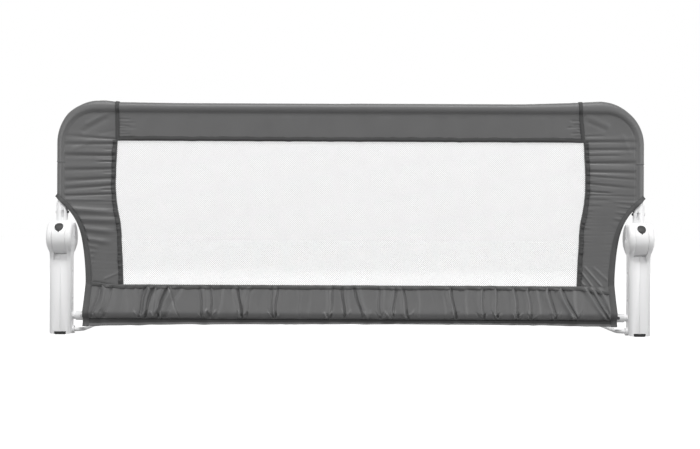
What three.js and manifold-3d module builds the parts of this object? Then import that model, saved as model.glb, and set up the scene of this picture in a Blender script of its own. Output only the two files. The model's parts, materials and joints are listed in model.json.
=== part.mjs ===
// Folding bed guard rail, in millimetres.
// +X runs along the rail, +Y points from the rail towards the bed, +Z is up.
// Each hinge unit is drawn once, for the right end, and mirrored for the left end.
import * as THREE from 'three';
import { mergeVertices } from 'three/addons/utils/BufferGeometryUtils.js';
import Module from 'manifold-3d';

const wasm = await Module();
wasm.setup();

// Driving sizes of the whole rail
const unitSpacing = 1008;
const topTubeHeight = 395.5;
const pivotHeight = 169;
const lowerTubeHeight = 32;
const runningGap = 0.3;
const cutOverrun = 2;
const filletSteps = 4;

// Steel tubes
const tubeRadius = 8;
const tubeWall = 1.2;
const cornerRadius = 62;
const cornerSteps = 6;
const tubeSides = 16;
const jointBelowCorner = 35.5;
const swageLength = 26;

// Hinge head and post, which are moulded as two half shells
const headRadius = 29;
const headHalfWidth = 22.3;
const cheekRound = 6.2;
const cheekTaperDrop = 26;
const cheekTaperShares = [[0.22, 0], [0.45, 0.24], [0.72, 0.72], [1, 1]];
const headSides = 28;
const hexSides = 6;
const domeSteps = 3;
const postHalfWidth = 19;
const postFront = 12;
const postBack = 10;
const postBottom = 1;
const postEdgeRound = 3.4;
const postEdgeSteps = 2;
const neckRadius = 25;
const backNeckRadius = 14;
const neckOverlap = 6;
const shellWall = 2.4;
const shellSeam = 0.3;
const cavityFloor = 17;
const ribPitch = 24;
const ribThickness = 1.6;
const ribDepth = 4;
const screwHeightShares = [0.22, 0.57];
const screwOffset = 0;
const screwBossRadius = 3.8;
const screwRadius = 1.5;
const screwHeadRadius = 2.8;
const screwHeadHeight = 1.8;
const screwReach = 11;
const screwHoleClearance = 0.3;

// Drum that turns in the head, with the socket for the upright
const drumHalfWidth = 11.3;
const drumGap = 1.6;
const drumEdge = 0.6;
const socketRadius = 10;
const socketTop = 61;
const socketFloor = 33;
const socketSlotWidth = 4;
const socketSlotLow = 34.5;
const socketSlotHigh = 47;
const socketSlotOffset = 3;
const rampDrop = 15;
const rampDepth = 5.5;

// Pivot bolt and nut
const boltRadius = 4;
const boltHeadRadius = 5;
const boltHeadHeight = 2.8;
const boltHexRadius = 2.4;
const boltHexDepth = 1.6;
const nutRadius = 7;
const nutThickness = 5;
const nutRecess = 1;
const boltSides = 12;

// Push button, lock bar and spring of each hinge, along a line through the pivot
const buttonTilt = THREE.MathUtils.degToRad(39);
const buttonHalfWidth = 7.1;
const buttonHalfLength = 8.4;
const buttonTipLength = 2;
const buttonTipHalfWidth = 1.2;
const buttonOutlineSides = 28;
const buttonFaceSides = 56;
const buttonProud = 1;
const buttonDepth = 6;
const buttonTravel = 4;
const stemRadius = 3.4;
const lockBarRadius = 18;
const lockBarHalf = 2;
const lockBarReach = 3.1;
const grooveDepth = 3.4;
const springWire = 0.45;
const springRadius = 2.9;
const springTurns = 3;
const springTurnSteps = 6;
const springWireSides = 5;
const springFloor = 6.4;

// Snap buttons that hold the tubes in their sockets
const snapRadius = 2.5;
const snapProud = 2;
const snapFlange = 1.1;
const snapFlangeRadius = 3.4;
const snapTravel = 2.4;
const snapSides = 10;
const upperSnapHeight = 44;
const snapLeafThickness = 0.6;
const snapLeafHalfWidth = 2.2;
const snapLeafLength = 15;

// Bump moulded on the outer side of the socket
const socketBumpRadius = 2.6;
const socketBumpProud = 1.2;

// Lower cross tube and the plugs that carry it
const crossTubeEnd = 25.5;
const plugReach = 64;
const plugFlangeRadius = 7.2;
const plugFlange = 3;
const lowerSnapInset = 10.5;

// Arms that lie under the mattress
const armRadius = 3.5;
const armHeight = 8;
const armBendRadius = 14;
const armBendSteps = 5;
const armLength = 330;
const armSides = 10;
const armRoot = 4;
const armBossRadius = 6.8;
const armBossProud = 3.5;
const armCapLength = 26;
const armCapWall = 3.6;
const armCapSides = 16;
const armCapRound = 2;
const armCapTread = 5;

// Rubber foot pad let into the bottom of each post
const padHalfWidth = 10;
const padChamfer = 1.6;
const padLipHeight = 5;
const padLipDepth = 2.6;
const padBase = 2.6;
const padProud = 0.4;
const padBackInset = 3;

// Fabric cover
const clothThickness = 1;
const clothGap = 0.3;
const netThickness = 0.7;
const netTuck = 4;
const sideBandWidth = 98;
const windowLean = 9;
const topBandHeight = 57.5;
const bottomBandHeight = 54.8;
const hemHeight = 5;
const hemHalfDepth = 1.1;
const hemTuck = 0.6;
const hingeLineGap = 4;
const bindingWidth = 9.6;
const bindingGap = 7;
const bindingFoot = 14;
const pocketArcSteps = 5;
const panelFlatSteps = 3;
const panelFoldDepth = 1.2;
const panelFoldCount = 6;
const bandFoldDepth = 1.1;
const bandFoldCount = 14;

// Diamond gaps of the net
const gapPitchX = 50;
const gapPitchZ = 39;
const gapStrand = 3;
const netBorder = 5;

// Front view of the net's edge: share of the window's lean out from the seam, share of the window's height
const netEdgeShares = [
  [0, 1],
  [0.44, 0.69],
  [-0.11, 0.5],
  [-0.67, 0.25],
  [-1, 0],
];

// Front view of the cover's free side edge, which clears the hinge head: share of the head's half width
// inwards from the unit's middle, share of the head's radius above the pivot
const freeEdgeShares = [
  [-0.38, 2.48],
  [0.04, 2.1],
  [0.63, 1.76],
  [1.08, 1.14],
  [1.39, 0.52],
  [1.66, -0.31],
  [1.9, -1.97],
];
const freeEdgeFootShare = 1.77;
const flareShare = 2.55;

// Values worked out from the sizes above
const unitX = unitSpacing / 2;
const bandSeamX = unitX - sideBandWidth;
const uprightJointHeight = topTubeHeight - cornerRadius - jointBelowCorner;
const screwHeights = screwHeightShares.map((share) => THREE.MathUtils.lerp(lowerTubeHeight, pivotHeight, share));
const rampFoot = pivotHeight - headRadius - drumGap - rampDrop;
const cavityTop = rampFoot - shellWall;
const netTopHeight = topTubeHeight - topBandHeight;
const netBottomHeight = lowerTubeHeight + bottomBandHeight;
const flareHeight = pivotHeight + headRadius * flareShare;
const netEdge = netEdgeShares.map(([lean, up]) => [
  bandSeamX + windowLean * lean,
  THREE.MathUtils.lerp(netBottomHeight, netTopHeight, up),
]);
const freeEdge = freeEdgeShares.map(([inward, up]) => [unitX - headHalfWidth * inward, pivotHeight + headRadius * up]);
const coverEdge = [...freeEdge, [unitX - headHalfWidth * freeEdgeFootShare, lowerTubeHeight]];
const cheekFace = drumHalfWidth + runningGap;
const tubeInner = tubeRadius - tubeWall;
const swageRadius = tubeInner - runningGap;
const plugRadius = tubeInner - runningGap;
const pocketRadius = (tubeRadius + clothGap) / Math.cos(Math.PI / (2 * pocketArcSteps));
const sheetInner = netThickness / 2 + clothGap;
const sheetOuter = sheetInner + clothThickness;
const bindingTop = pivotHeight + headRadius + socketRadius;
const bindingBottom = lowerTubeHeight + bindingFoot;
const upward = new THREE.Vector2(0, 1);
const downward = new THREE.Vector2(0, -1);
const sideways = new THREE.Vector2(1, 0);

// Materials
const shellWhite = () => finish(0xe9eaea, 0.42, 0);
const paintedWhite = () => finish(0xe4e5e6, 0.36, 0.1);
const buttonGrey = () => finish(0x4c4c4e, 0.5, 0);
const bareSteel = () => finish(0x9a9c9e, 0.35, 0.9);
const blackRubber = () => finish(0x1c1c1d, 0.85, 0);
const coverGrey = () => finish(0x6a6a6b, 0.8, 0);
const bindingGrey = () => finish(0x5c5c5d, 0.85, 0);
const netWhite = () => finish(0xf0f0ee, 0.8, 0);

function finish(color, roughness, metalness) {
  return new THREE.MeshStandardMaterial({ color, roughness, metalness });
}

// Solids: closed geometry to and from the boolean library
function solid(geometry) {
  const bare = geometry.clone();
  bare.deleteAttribute('normal');
  bare.deleteAttribute('uv');
  const merged = mergeVertices(bare);
  const vertProperties = new Float32Array(merged.attributes.position.array);
  const triVerts = new Uint32Array(merged.index.array);
  return new wasm.Manifold(new wasm.Mesh({ numProp: 3, vertProperties, triVerts }));
}

function geometryOf(body) {
  const mesh = body.getMesh();
  const geometry = new THREE.BufferGeometry();
  geometry.setAttribute('position', new THREE.Float32BufferAttribute(mesh.vertProperties, 3));
  geometry.setIndex([...mesh.triVerts]);
  return geometry;
}

function cut(body, ...tools) {
  return tools.reduce((rest, tool) => rest.subtract(tool), body);
}

function join(body, ...others) {
  return others.reduce((sum, other) => sum.add(other), body);
}

function mirrorX(geometry) {
  const flipped = geometry.clone();
  flipped.scale(-1, 1, 1);
  const index = flipped.index.array;
  for (let corner = 0; corner < index.length; corner += 3) {
    [index[corner], index[corner + 1]] = [index[corner + 1], index[corner]];
  }
  return flipped;
}

// Basic shapes
function block(low, high) {
  const size = high.map((value, axis) => value - low[axis]);
  const middle = high.map((value, axis) => (value + low[axis]) / 2);
  return solid(new THREE.BoxGeometry(...size).translate(...middle));
}

function rodX(radius, lowX, highX, y, z, sides) {
  const rod = new THREE.CylinderGeometry(radius, radius, highX - lowX, sides);
  rod.rotateZ(-Math.PI / 2);
  return solid(rod.translate((lowX + highX) / 2, y, z));
}

function rodY(radius, lowY, highY, x, z, sides) {
  const rod = new THREE.CylinderGeometry(radius, radius, highY - lowY, sides);
  return solid(rod.translate(x, (lowY + highY) / 2, z));
}

function rodZ(radius, lowZ, highZ, x, y, sides) {
  const rod = new THREE.CylinderGeometry(radius, radius, highZ - lowZ, sides);
  rod.rotateX(Math.PI / 2);
  return solid(rod.translate(x, y, (lowZ + highZ) / 2));
}

// A profile of [distance along X, radius] pairs, turned about the X axis
function turnedX(profile, sides) {
  const points = profile.map(([along, radius]) => new THREE.Vector2(radius, along));
  return solid(new THREE.LatheGeometry(points, sides).rotateZ(-Math.PI / 2));
}

// A profile of [height, radius] pairs, turned about the Z axis
function turnedZ(profile, sides) {
  const points = profile.map(([height, radius]) => new THREE.Vector2(radius, height));
  return solid(new THREE.LatheGeometry(points, sides).rotateX(Math.PI / 2));
}

// A shape drawn in Y and Z, extruded from lowX to highX
function plateYZ(shape, lowX, highX, options = {}) {
  const plate = new THREE.ExtrudeGeometry(shape, { depth: highX - lowX, bevelEnabled: false, ...options });
  const turn = new THREE.Matrix4().makeBasis(
    new THREE.Vector3(0, 1, 0),
    new THREE.Vector3(0, 0, 1),
    new THREE.Vector3(1, 0, 0),
  );
  return solid(plate.applyMatrix4(turn).translate(lowX, 0, 0));
}

// A shape drawn in X and Z, extruded from lowY to highY
function plateXZ(shape, lowY, highY) {
  const plate = new THREE.ExtrudeGeometry(shape, { depth: highY - lowY, bevelEnabled: false });
  return solid(plate.rotateX(Math.PI / 2).translate(0, highY, 0));
}

function polygon(points) {
  return new THREE.Shape(points.map(([across, up]) => new THREE.Vector2(across, up)));
}

// A path whose stations are used as they are, without even spacing
class StationPath extends THREE.Curve {
  constructor(stations) {
    super();
    this.stations = stations;
  }

  getPoint(share, target = new THREE.Vector3()) {
    const last = this.stations.length - 1;
    const place = THREE.MathUtils.clamp(share, 0, 1) * last;
    const index = Math.min(Math.floor(place), last - 1);
    return target.lerpVectors(this.stations[index], this.stations[index + 1], place - index);
  }

  getUtoTmapping(share) {
    return share;
  }
}

function circle(radius, sides) {
  const points = [];
  for (let side = 0; side < sides; side += 1) {
    const angle = (2 * Math.PI * side) / sides;
    points.push([radius * Math.cos(angle), radius * Math.sin(angle)]);
  }
  return polygon(points);
}

// A round rod or tube along stations; bore is zero for a solid rod
function bentTube(stations, radius, bore, sides) {
  const section = circle(radius, sides);
  if (bore > 0) section.holes.push(circle(bore, sides));
  const extrudePath = new StationPath(stations);
  return solid(new THREE.ExtrudeGeometry(section, { steps: stations.length - 1, extrudePath }));
}

// Points of an arc about a centre, from one angle to another
function arcPoints(centreA, centreB, radius, fromAngle, toAngle, steps) {
  const points = [];
  for (let step = 0; step <= steps; step += 1) {
    const angle = fromAngle + ((toAngle - fromAngle) * step) / steps;
    points.push([centreA + radius * Math.cos(angle), centreB + radius * Math.sin(angle)]);
  }
  return points;
}

// A closed sheet between two grids of points, [station][point], that face each other.
// Stations go round the cover anticlockwise, seen from the front.
function sheet(outer, inner) {
  const rows = outer.length;
  const columns = outer[0].length;
  const positions = [...outer.flat(2), ...inner.flat(2)];
  const at = (side, row, column) => side * rows * columns + row * columns + column;
  const index = [];
  const quad = (a, b, c, d) => index.push(a, b, c, a, c, d);
  for (let row = 0; row < rows - 1; row += 1) {
    for (let column = 0; column < columns - 1; column += 1) {
      quad(at(0, row, column), at(0, row, column + 1), at(0, row + 1, column + 1), at(0, row + 1, column));
      quad(at(1, row, column), at(1, row + 1, column), at(1, row + 1, column + 1), at(1, row, column + 1));
    }
    quad(at(0, row, 0), at(0, row + 1, 0), at(1, row + 1, 0), at(1, row, 0));
    const end = columns - 1;
    quad(at(0, row + 1, end), at(0, row, end), at(1, row, end), at(1, row + 1, end));
  }
  for (let column = 0; column < columns - 1; column += 1) {
    quad(at(0, 0, column + 1), at(0, 0, column), at(1, 0, column), at(1, 0, column + 1));
    const end = rows - 1;
    quad(at(0, end, column), at(0, end, column + 1), at(1, end, column + 1), at(1, end, column));
  }
  const geometry = new THREE.BufferGeometry();
  geometry.setAttribute('position', new THREE.Float32BufferAttribute(positions, 3));
  geometry.setIndex(index);
  return solid(geometry);
}

// Distance from the middle of the rail on an edge line, at a height
function edgeAt(edge, height) {
  const next = Math.max(1, edge.findIndex(([, z]) => z <= height));
  const [[highX, highZ], [lowX, lowZ]] = [edge[next - 1], edge[next]];
  return THREE.MathUtils.mapLinear(height, highZ, lowZ, highX, lowX);
}

// Side view of the post: straight front and back, with a concave neck up to the round head
function postProfile() {
  const neck = (wall, radius) => {
    const across = wall + radius;
    const rise = Math.sqrt((headRadius + radius) ** 2 - across ** 2);
    const meet = Math.atan2(rise, -across);
    return arcPoints(across, pivotHeight - rise, radius, Math.PI, meet, filletSteps);
  };
  const front = neck(postFront, neckRadius).map(([y, z]) => [-y, z]);
  const back = neck(postBack, backNeckRadius);
  return polygon([
    [-postFront, postBottom],
    [postBack, postBottom],
    ...back,
    [postBack, pivotHeight - neckOverlap],
    [-postFront, pivotHeight - neckOverlap],
    ...front.reverse(),
  ]);
}

// Head: a disc with rounded rims, turned about the pivot, whose cheeks draw in towards the post
function headForm() {
  const flatHalf = headHalfWidth - cheekRound;
  const round = arcPoints(0, 0, cheekRound, 0, Math.PI / 2, domeSteps).map(([out, along]) => [
    flatHalf + along,
    headRadius - cheekRound + out,
  ]);
  const half = [[cheekFace, headRadius], ...round, [headHalfWidth, 0]];
  const other = half.map(([along, radius]) => [-along, radius]).reverse();
  const head = turnedX([...other, ...half], headSides).translate([0, 0, pivotHeight]);
  const taper = cheekTaperShares.map(([down, inward]) => [
    headHalfWidth - (headHalfWidth - postHalfWidth) * inward,
    pivotHeight - cheekTaperDrop * down,
  ]);
  const side = [[headHalfWidth, pivotHeight + headRadius + cutOverrun], ...taper, [postHalfWidth, postBottom]];
  const mirror = side.map(([across, up]) => [-across, up]).reverse();
  return head.intersect(plateXZ(polygon([...side, ...mirror]), -headRadius - cutOverrun, headRadius + cutOverrun));
}

// Whole housing as one body, before it is parted into two shells
function housingForm() {
  const bevel = {
    bevelEnabled: true,
    bevelThickness: postEdgeRound,
    bevelSize: postEdgeRound,
    bevelOffset: -postEdgeRound,
    bevelSegments: postEdgeSteps,
  };
  const straight = postHalfWidth - postEdgeRound;
  const post = plateYZ(postProfile(), -straight, straight, bevel);
  const drumSpace = rodX(headRadius + drumGap, -cheekFace, cheekFace, 0, pivotHeight, headSides);
  return cut(join(post, headForm()), drumSpace, rampCut());
}

// Slanted recess under the drum, which lets the socket fold down
function rampCut() {
  const recess = polygon([
    [-postFront, rampFoot + cutOverrun],
    [-postFront + rampDepth, rampFoot + rampDrop + cutOverrun],
    [-postFront + rampDepth, pivotHeight],
    [-headRadius - cutOverrun, pivotHeight],
    [-headRadius - cutOverrun, rampFoot + cutOverrun],
  ]);
  return plateYZ(recess, -cheekFace, cheekFace);
}

// Ring groove inside each cheek, in which the lock bar's end runs
function lockGroove() {
  const inner = lockBarRadius - lockBarHalf - buttonTravel - runningGap;
  const outer = Math.hypot(lockBarRadius + lockBarHalf, lockBarHalf) + runningGap;
  const low = cheekFace - cutOverrun;
  const high = cheekFace + grooveDepth;
  const ring = turnedX([[low, inner], [low, outer], [high, outer], [high, inner], [low, inner]], headSides);
  return ring.translate([0, 0, pivotHeight]);
}

// Hollow inside one half of the post, crossed by short ribs
function shellHollow() {
  const low = [runningGap - cutOverrun, -postFront + shellWall, cavityFloor];
  const high = [postHalfWidth - shellWall, postBack - shellWall, cavityTop];
  const ribs = [];
  for (let z = cavityFloor + ribPitch; z < cavityTop - ribThickness; z += ribPitch) {
    const ribLow = [high[0] - ribDepth, low[1] - cutOverrun, z];
    ribs.push(block(ribLow, [high[0] + cutOverrun, high[1] + cutOverrun, z + ribThickness]));
  }
  return cut(block(low, high), ...ribs);
}

function padSpace() {
  return footPadForm(runningGap, cutOverrun);
}

// One half of the housing, drawn for the side away from the rail's middle
function halfHousing() {
  const half = block(
    [shellSeam / 2, -headRadius - cutOverrun, postBottom - cutOverrun],
    [headHalfWidth + cutOverrun, headRadius + cutOverrun, pivotHeight + headRadius + cutOverrun],
  );
  const pivotBore = rodX(boltRadius + runningGap, -cutOverrun, headHalfWidth + cutOverrun, 0, pivotHeight, boltSides);
  return cut(housingForm().intersect(half), shellHollow(), lockGroove(), pivotBore, padSpace());
}

function outerShell() {
  const bosses = screwHeights.map((z) => {
    const reach = postHalfWidth - shellWall / 2;
    return rodX(screwBossRadius, shellSeam / 2, reach, screwOffset, z, snapSides);
  });
  const pilots = screwHeights.map((z) => {
    const radius = screwRadius + screwHoleClearance;
    return rodX(radius, -cutOverrun, screwReach + runningGap, screwOffset, z, snapSides);
  });
  const nutSpace = rodX(
    nutRadius + runningGap,
    headHalfWidth - nutRecess - nutThickness - runningGap,
    headHalfWidth + cutOverrun,
    0,
    pivotHeight,
    hexSides,
  );
  return cut(join(halfHousing(), ...bosses), ...pilots, nutSpace);
}

// The inner shell carries the bolt head, the cross tube's plug and the arm; drawn facing outwards too
function innerShell() {
  const inside = shellSeam / 2;
  const bosses = screwHeights.map((z) => {
    return rodX(screwBossRadius, inside, postHalfWidth - shellWall / 2, screwOffset, z, snapSides);
  });
  const armBoss = rodX(armBossRadius, inside, postHalfWidth + armBossProud, 0, armHeight, armCapSides);
  const outside = postHalfWidth + armBossProud + cutOverrun;
  const holes = screwHeights.map((z) => {
    return rodX(screwRadius + screwHoleClearance, -cutOverrun, outside, screwOffset, z, snapSides);
  });
  const headSeats = screwHeights.map((z) => {
    const seat = postHalfWidth - screwHeadHeight - runningGap;
    return rodX(screwHeadRadius + runningGap, seat, outside, screwOffset, z, snapSides);
  });
  const boltSeat = rodX(
    boltHeadRadius + runningGap,
    headHalfWidth - boltHeadHeight - runningGap,
    headHalfWidth + cutOverrun,
    0,
    pivotHeight,
    boltSides,
  );
  const plugHole = rodX(plugRadius + runningGap, shellWall, outside, 0, lowerTubeHeight, tubeSides);
  const armHole = rodX(armRadius + runningGap, armRoot - runningGap, outside, 0, armHeight, armSides);
  const shell = join(halfHousing(), ...bosses, armBoss);
  return cut(shell, ...holes, ...headSeats, boltSeat, plugHole, armHole, padSpace());
}

// Rubber pad: a base under the post and a lip that shows at the front
function footPadForm(grow, overrun) {
  const half = padHalfWidth + grow;
  const front = -postFront - padProud - overrun;
  const face = (top) => polygon([
    [-half + padChamfer, -overrun],
    [half - padChamfer, -overrun],
    [half, padChamfer],
    [half, top + grow],
    [-half, top + grow],
    [-half, padChamfer],
  ]);
  const lip = plateXZ(face(padLipHeight), front, -postFront + padLipDepth + grow);
  const base = plateXZ(face(padBase), front, postBack - padBackInset + grow);
  return join(lip, base);
}

// Screw that pulls the two shells together, drawn for the inner shell's side
function shellScrew(z) {
  const headTop = postHalfWidth;
  const neck = headTop - screwHeadHeight;
  const shank = turnedX([
    [-screwReach, 0],
    [-screwReach, screwRadius],
    [neck, screwRadius],
    [neck, screwHeadRadius],
    [headTop, screwHeadRadius],
    [headTop, 0],
  ], snapSides);
  return shank.translate([0, screwOffset, z]);
}

// Pivot bolt with a hexagon socket, head on the inner cheek; heights are from the pivot
function pivotBolt() {
  const neck = headHalfWidth - boltHeadHeight;
  const tip = -headHalfWidth + nutRecess;
  const bolt = turnedX([
    [tip, 0],
    [tip, boltRadius],
    [neck, boltRadius],
    [neck, boltHeadRadius],
    [headHalfWidth, boltHeadRadius],
    [headHalfWidth, 0],
  ], boltSides);
  return cut(bolt, rodX(boltHexRadius, headHalfWidth - boltHexDepth, headHalfWidth + cutOverrun, 0, 0, hexSides));
}

function pivotNut() {
  const low = headHalfWidth - nutRecess - nutThickness;
  const high = headHalfWidth - nutRecess;
  const bore = rodX(boltRadius + runningGap, low - cutOverrun, high + cutOverrun, 0, 0, boltSides);
  return cut(rodX(nutRadius, low, high, 0, 0, hexSides), bore);
}

// Front outline of the push button: an oval with a small point at its foot
function buttonOutline(grow) {
  const oval = arcPoints(0, 0, 1, -Math.PI / 2, (3 * Math.PI) / 2, buttonOutlineSides).slice(1, -1);
  const points = oval.map(([across, up]) => [
    across * (buttonHalfWidth + grow),
    up * (buttonHalfLength + grow),
  ]);
  const tip = [0, -buttonHalfLength - buttonTipLength - grow];
  return polygon([tip, ...points.filter(([across, up]) => Math.abs(across) > buttonTipHalfWidth || up > 0)]);
}

// Drum with its socket; the origin is the pivot, and the button's line is tilted up from -Y
function drum() {
  const edge = [drumHalfWidth, headRadius - drumEdge];
  const body = turnedX([
    [-drumHalfWidth, 0],
    [-edge[0], edge[1]],
    [-drumHalfWidth + drumEdge, headRadius],
    [drumHalfWidth - drumEdge, headRadius],
    edge,
    [drumHalfWidth, 0],
  ], headSides);
  const socket = rodZ(socketRadius, 0, socketTop, 0, 0, armCapSides);
  const bump = rodX(socketBumpRadius, 0, socketRadius + socketBumpProud, 0, upperSnapHeight, snapSides);
  const bore = rodZ(tubeRadius + runningGap, socketFloor, socketTop + cutOverrun, 0, 0, tubeSides);
  const snapHole = rodX(snapRadius + runningGap, -socketRadius - cutOverrun, 0, 0, upperSnapHeight, snapSides);
  const slot = block(
    [-socketSlotOffset - socketSlotWidth / 2, -socketRadius - cutOverrun, socketSlotLow],
    [-socketSlotOffset + socketSlotWidth / 2, 0, socketSlotHigh],
  );
  const pivotBore = rodX(boltRadius + runningGap, -headRadius, headRadius, 0, 0, boltSides);
  return cut(join(body, socket, bump), bore, snapHole, slot, pivotBore, ...buttonSpaces());
}

function tilted(body) {
  return body.rotate([-THREE.MathUtils.radToDeg(buttonTilt), 0, 0]);
}

// Spaces in the drum for the button, its stem, the lock bar and the spring
function buttonSpaces() {
  const capFloor = -(headRadius + buttonProud - buttonDepth - buttonTravel - runningGap);
  const cap = plateXZ(buttonOutline(runningGap), -headRadius - buttonProud - cutOverrun, capFloor);
  const stem = rodY(stemRadius + runningGap, capFloor - cutOverrun, -springFloor, 0, 0, snapSides);
  const half = lockBarHalf + runningGap;
  const bar = block(
    [-drumHalfWidth - cutOverrun, -lockBarRadius - half, -half],
    [drumHalfWidth + cutOverrun, -lockBarRadius + half + buttonTravel, half],
  );
  return [cap, stem, bar].map(tilted);
}

// Button cap and stem, along -Y; the face follows the round of the drum
function pushButton() {
  const faceRadius = headRadius + buttonProud;
  const capBack = -(faceRadius - buttonDepth);
  const cap = plateXZ(buttonOutline(0), -faceRadius - cutOverrun, capBack);
  const round = rodX(faceRadius, -headRadius, headRadius, 0, 0, buttonFaceSides);
  const stemEnd = -(lockBarRadius + lockBarHalf + runningGap);
  const stem = rodY(stemRadius, capBack - cutOverrun, stemEnd, 0, 0, snapSides);
  return join(cap.intersect(round), stem);
}

function lockBar() {
  const reach = drumHalfWidth + lockBarReach;
  return block(
    [-reach, -lockBarRadius - lockBarHalf, -lockBarHalf],
    [reach, -lockBarRadius + lockBarHalf, lockBarHalf],
  );
}

// Return spring, drawn at the length that it has with the button pressed
function buttonSpring() {
  const low = springFloor + runningGap + springWire;
  const high = lockBarRadius - lockBarHalf - buttonTravel - runningGap - springWire;
  const steps = springTurns * springTurnSteps;
  const stations = [];
  for (let step = 0; step <= steps; step += 1) {
    const angle = (2 * Math.PI * step) / springTurnSteps;
    const along = low + ((high - low) * step) / steps;
    stations.push(new THREE.Vector3(springRadius * Math.cos(angle), -along, springRadius * Math.sin(angle)));
  }
  return bentTube(stations, springWire, 0, springWireSides);
}

// Distance from a bore's axis at which a flat piece of a given half width just clears the wall
function wallSeat(boreRadius, halfWidth) {
  return Math.sqrt(boreRadius ** 2 - halfWidth ** 2) - runningGap;
}

// Snap button, along -X from a tube's inside to its outside; outerRadius is that of the tube it locks
function snapButton(outerRadius, boreRadius) {
  const flangeTop = wallSeat(boreRadius, snapFlangeRadius);
  const tip = outerRadius + snapProud;
  const profile = [
    [-tip, 0],
    [-tip, snapRadius / 2],
    [-tip + snapRadius / 2, snapRadius],
    [-flangeTop, snapRadius],
    [-flangeTop + snapFlange / 2, snapFlangeRadius],
    [-flangeTop + snapFlange, snapFlangeRadius],
    [-flangeTop + snapFlange, 0],
  ];
  return turnedX(profile, snapSides);
}

// Bent leaf behind a snap button; it lies against the far wall of the tube
function snapLeaf(boreRadius) {
  const back = wallSeat(boreRadius, snapLeafHalfWidth);
  const front = -wallSeat(boreRadius, snapFlangeRadius) + snapFlange + snapTravel + runningGap;
  const leaf = snapLeafThickness;
  const outline = polygon([
    [back, 0],
    [back, snapLeafLength],
    [back - leaf, snapLeafLength],
    [back - leaf, leaf],
    [front + leaf, leaf],
    [front + leaf, snapLeafLength / 2],
    [front, snapLeafLength / 2],
    [front, 0],
  ]);
  return plateXZ(outline, -snapLeafHalfWidth, snapLeafHalfWidth);
}

// Upright: a tube whose upper end is drawn in to plug into the bent top tube
function upright() {
  const low = pivotHeight + socketFloor + runningGap;
  const shoulder = uprightJointHeight - runningGap;
  const top = uprightJointHeight + swageLength;
  const taper = tubeWall;
  const swageBore = swageRadius - tubeWall;
  const tube = turnedZ([
    [low, tubeInner],
    [low, tubeRadius],
    [shoulder, tubeRadius],
    [shoulder + taper, swageRadius],
    [top, swageRadius],
    [top, swageBore],
    [shoulder - taper, swageBore],
    [shoulder - 2 * taper, tubeInner],
    [low, tubeInner],
  ], tubeSides);
  const hole = rodX(snapRadius + runningGap, -tubeRadius - cutOverrun, 0, 0, pivotHeight + upperSnapHeight, snapSides);
  return cut(tube, hole);
}

// Bent top tube, in one piece with both corners
function topTube() {
  const bendX = unitX - cornerRadius;
  const bendZ = topTubeHeight - cornerRadius;
  const low = uprightJointHeight + tubeWall;
  const right = [[unitX, low], ...arcPoints(bendX, bendZ, cornerRadius, 0, Math.PI / 2, cornerSteps)];
  const left = right.map(([x, z]) => [-x, z]).reverse();
  const stations = [...right, ...left].map(([x, z]) => new THREE.Vector3(x, 0, z));
  return bentTube(stations, tubeRadius, tubeInner, tubeSides);
}

// Lower cross tube, which the plugs enter at both ends
function crossTube() {
  const end = unitX - crossTubeEnd;
  const tube = turnedX([
    [-end, tubeInner],
    [-end, tubeRadius],
    [end, tubeRadius],
    [end, tubeInner],
    [-end, tubeInner],
  ], tubeSides).translate([0, 0, lowerTubeHeight]);
  const snapX = end - lowerSnapInset;
  const holes = [-snapX, snapX].map((x) => {
    return rodY(snapRadius + runningGap, -tubeRadius - cutOverrun, 0, x, lowerTubeHeight, snapSides);
  });
  return cut(tube, ...holes);
}

// Plug held by its flange inside the inner shell; hollow where the lower snap button sits
function crossPlug() {
  const flangeEnd = postHalfWidth - shellWall - runningGap;
  const bore = plugRadius - tubeWall;
  const plug = turnedX([
    [flangeEnd - plugFlange, bore],
    [flangeEnd - plugFlange, plugFlangeRadius],
    [flangeEnd, plugFlangeRadius],
    [flangeEnd, plugRadius],
    [plugReach, plugRadius],
    [plugReach, bore],
    [flangeEnd - plugFlange, bore],
  ], tubeSides);
  const snapAt = crossTubeEnd + lowerSnapInset;
  return cut(plug, rodY(snapRadius + runningGap, -plugRadius - cutOverrun, 0, snapAt, 0, snapSides));
}

// Arm: a rod that leaves the post sideways and bends back under the mattress
function arm() {
  const bendX = postHalfWidth + armBossProud + runningGap;
  const bend = arcPoints(bendX, armBendRadius, armBendRadius, -Math.PI / 2, 0, armBendSteps);
  const line = [[armRoot, 0], ...bend, [bendX + armBendRadius, armLength - armCapWall]];
  const stations = line.map(([x, y]) => new THREE.Vector3(x, y, armHeight));
  return bentTube(stations, armRadius, 0, armSides);
}

// Rubber cap on the arm's end, with a flat tread that the arm rests on
function armCap() {
  const low = armLength - armCapLength;
  const x = postHalfWidth + armBossProud + runningGap + armBendRadius;
  const round = armHeight - armCapRound;
  const profile = [
    [low, 0],
    [low, round],
    [low + armCapRound, armHeight],
    [armLength - armCapRound, armHeight],
    [armLength, round],
    [armLength, 0],
  ];
  const cap = turnedX(profile, armCapSides).rotate([0, 0, 90]).translate([x, 0, armHeight]);
  const tread = block(
    [x - armCapTread, low + armCapRound, 0],
    [x + armCapTread, armLength - armCapRound, armHeight],
  );
  const bore = rodY(armRadius + runningGap, low - cutOverrun, armLength - armCapWall + runningGap, x, armHeight, armSides);
  return cut(join(cap, tread), bore);
}

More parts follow.
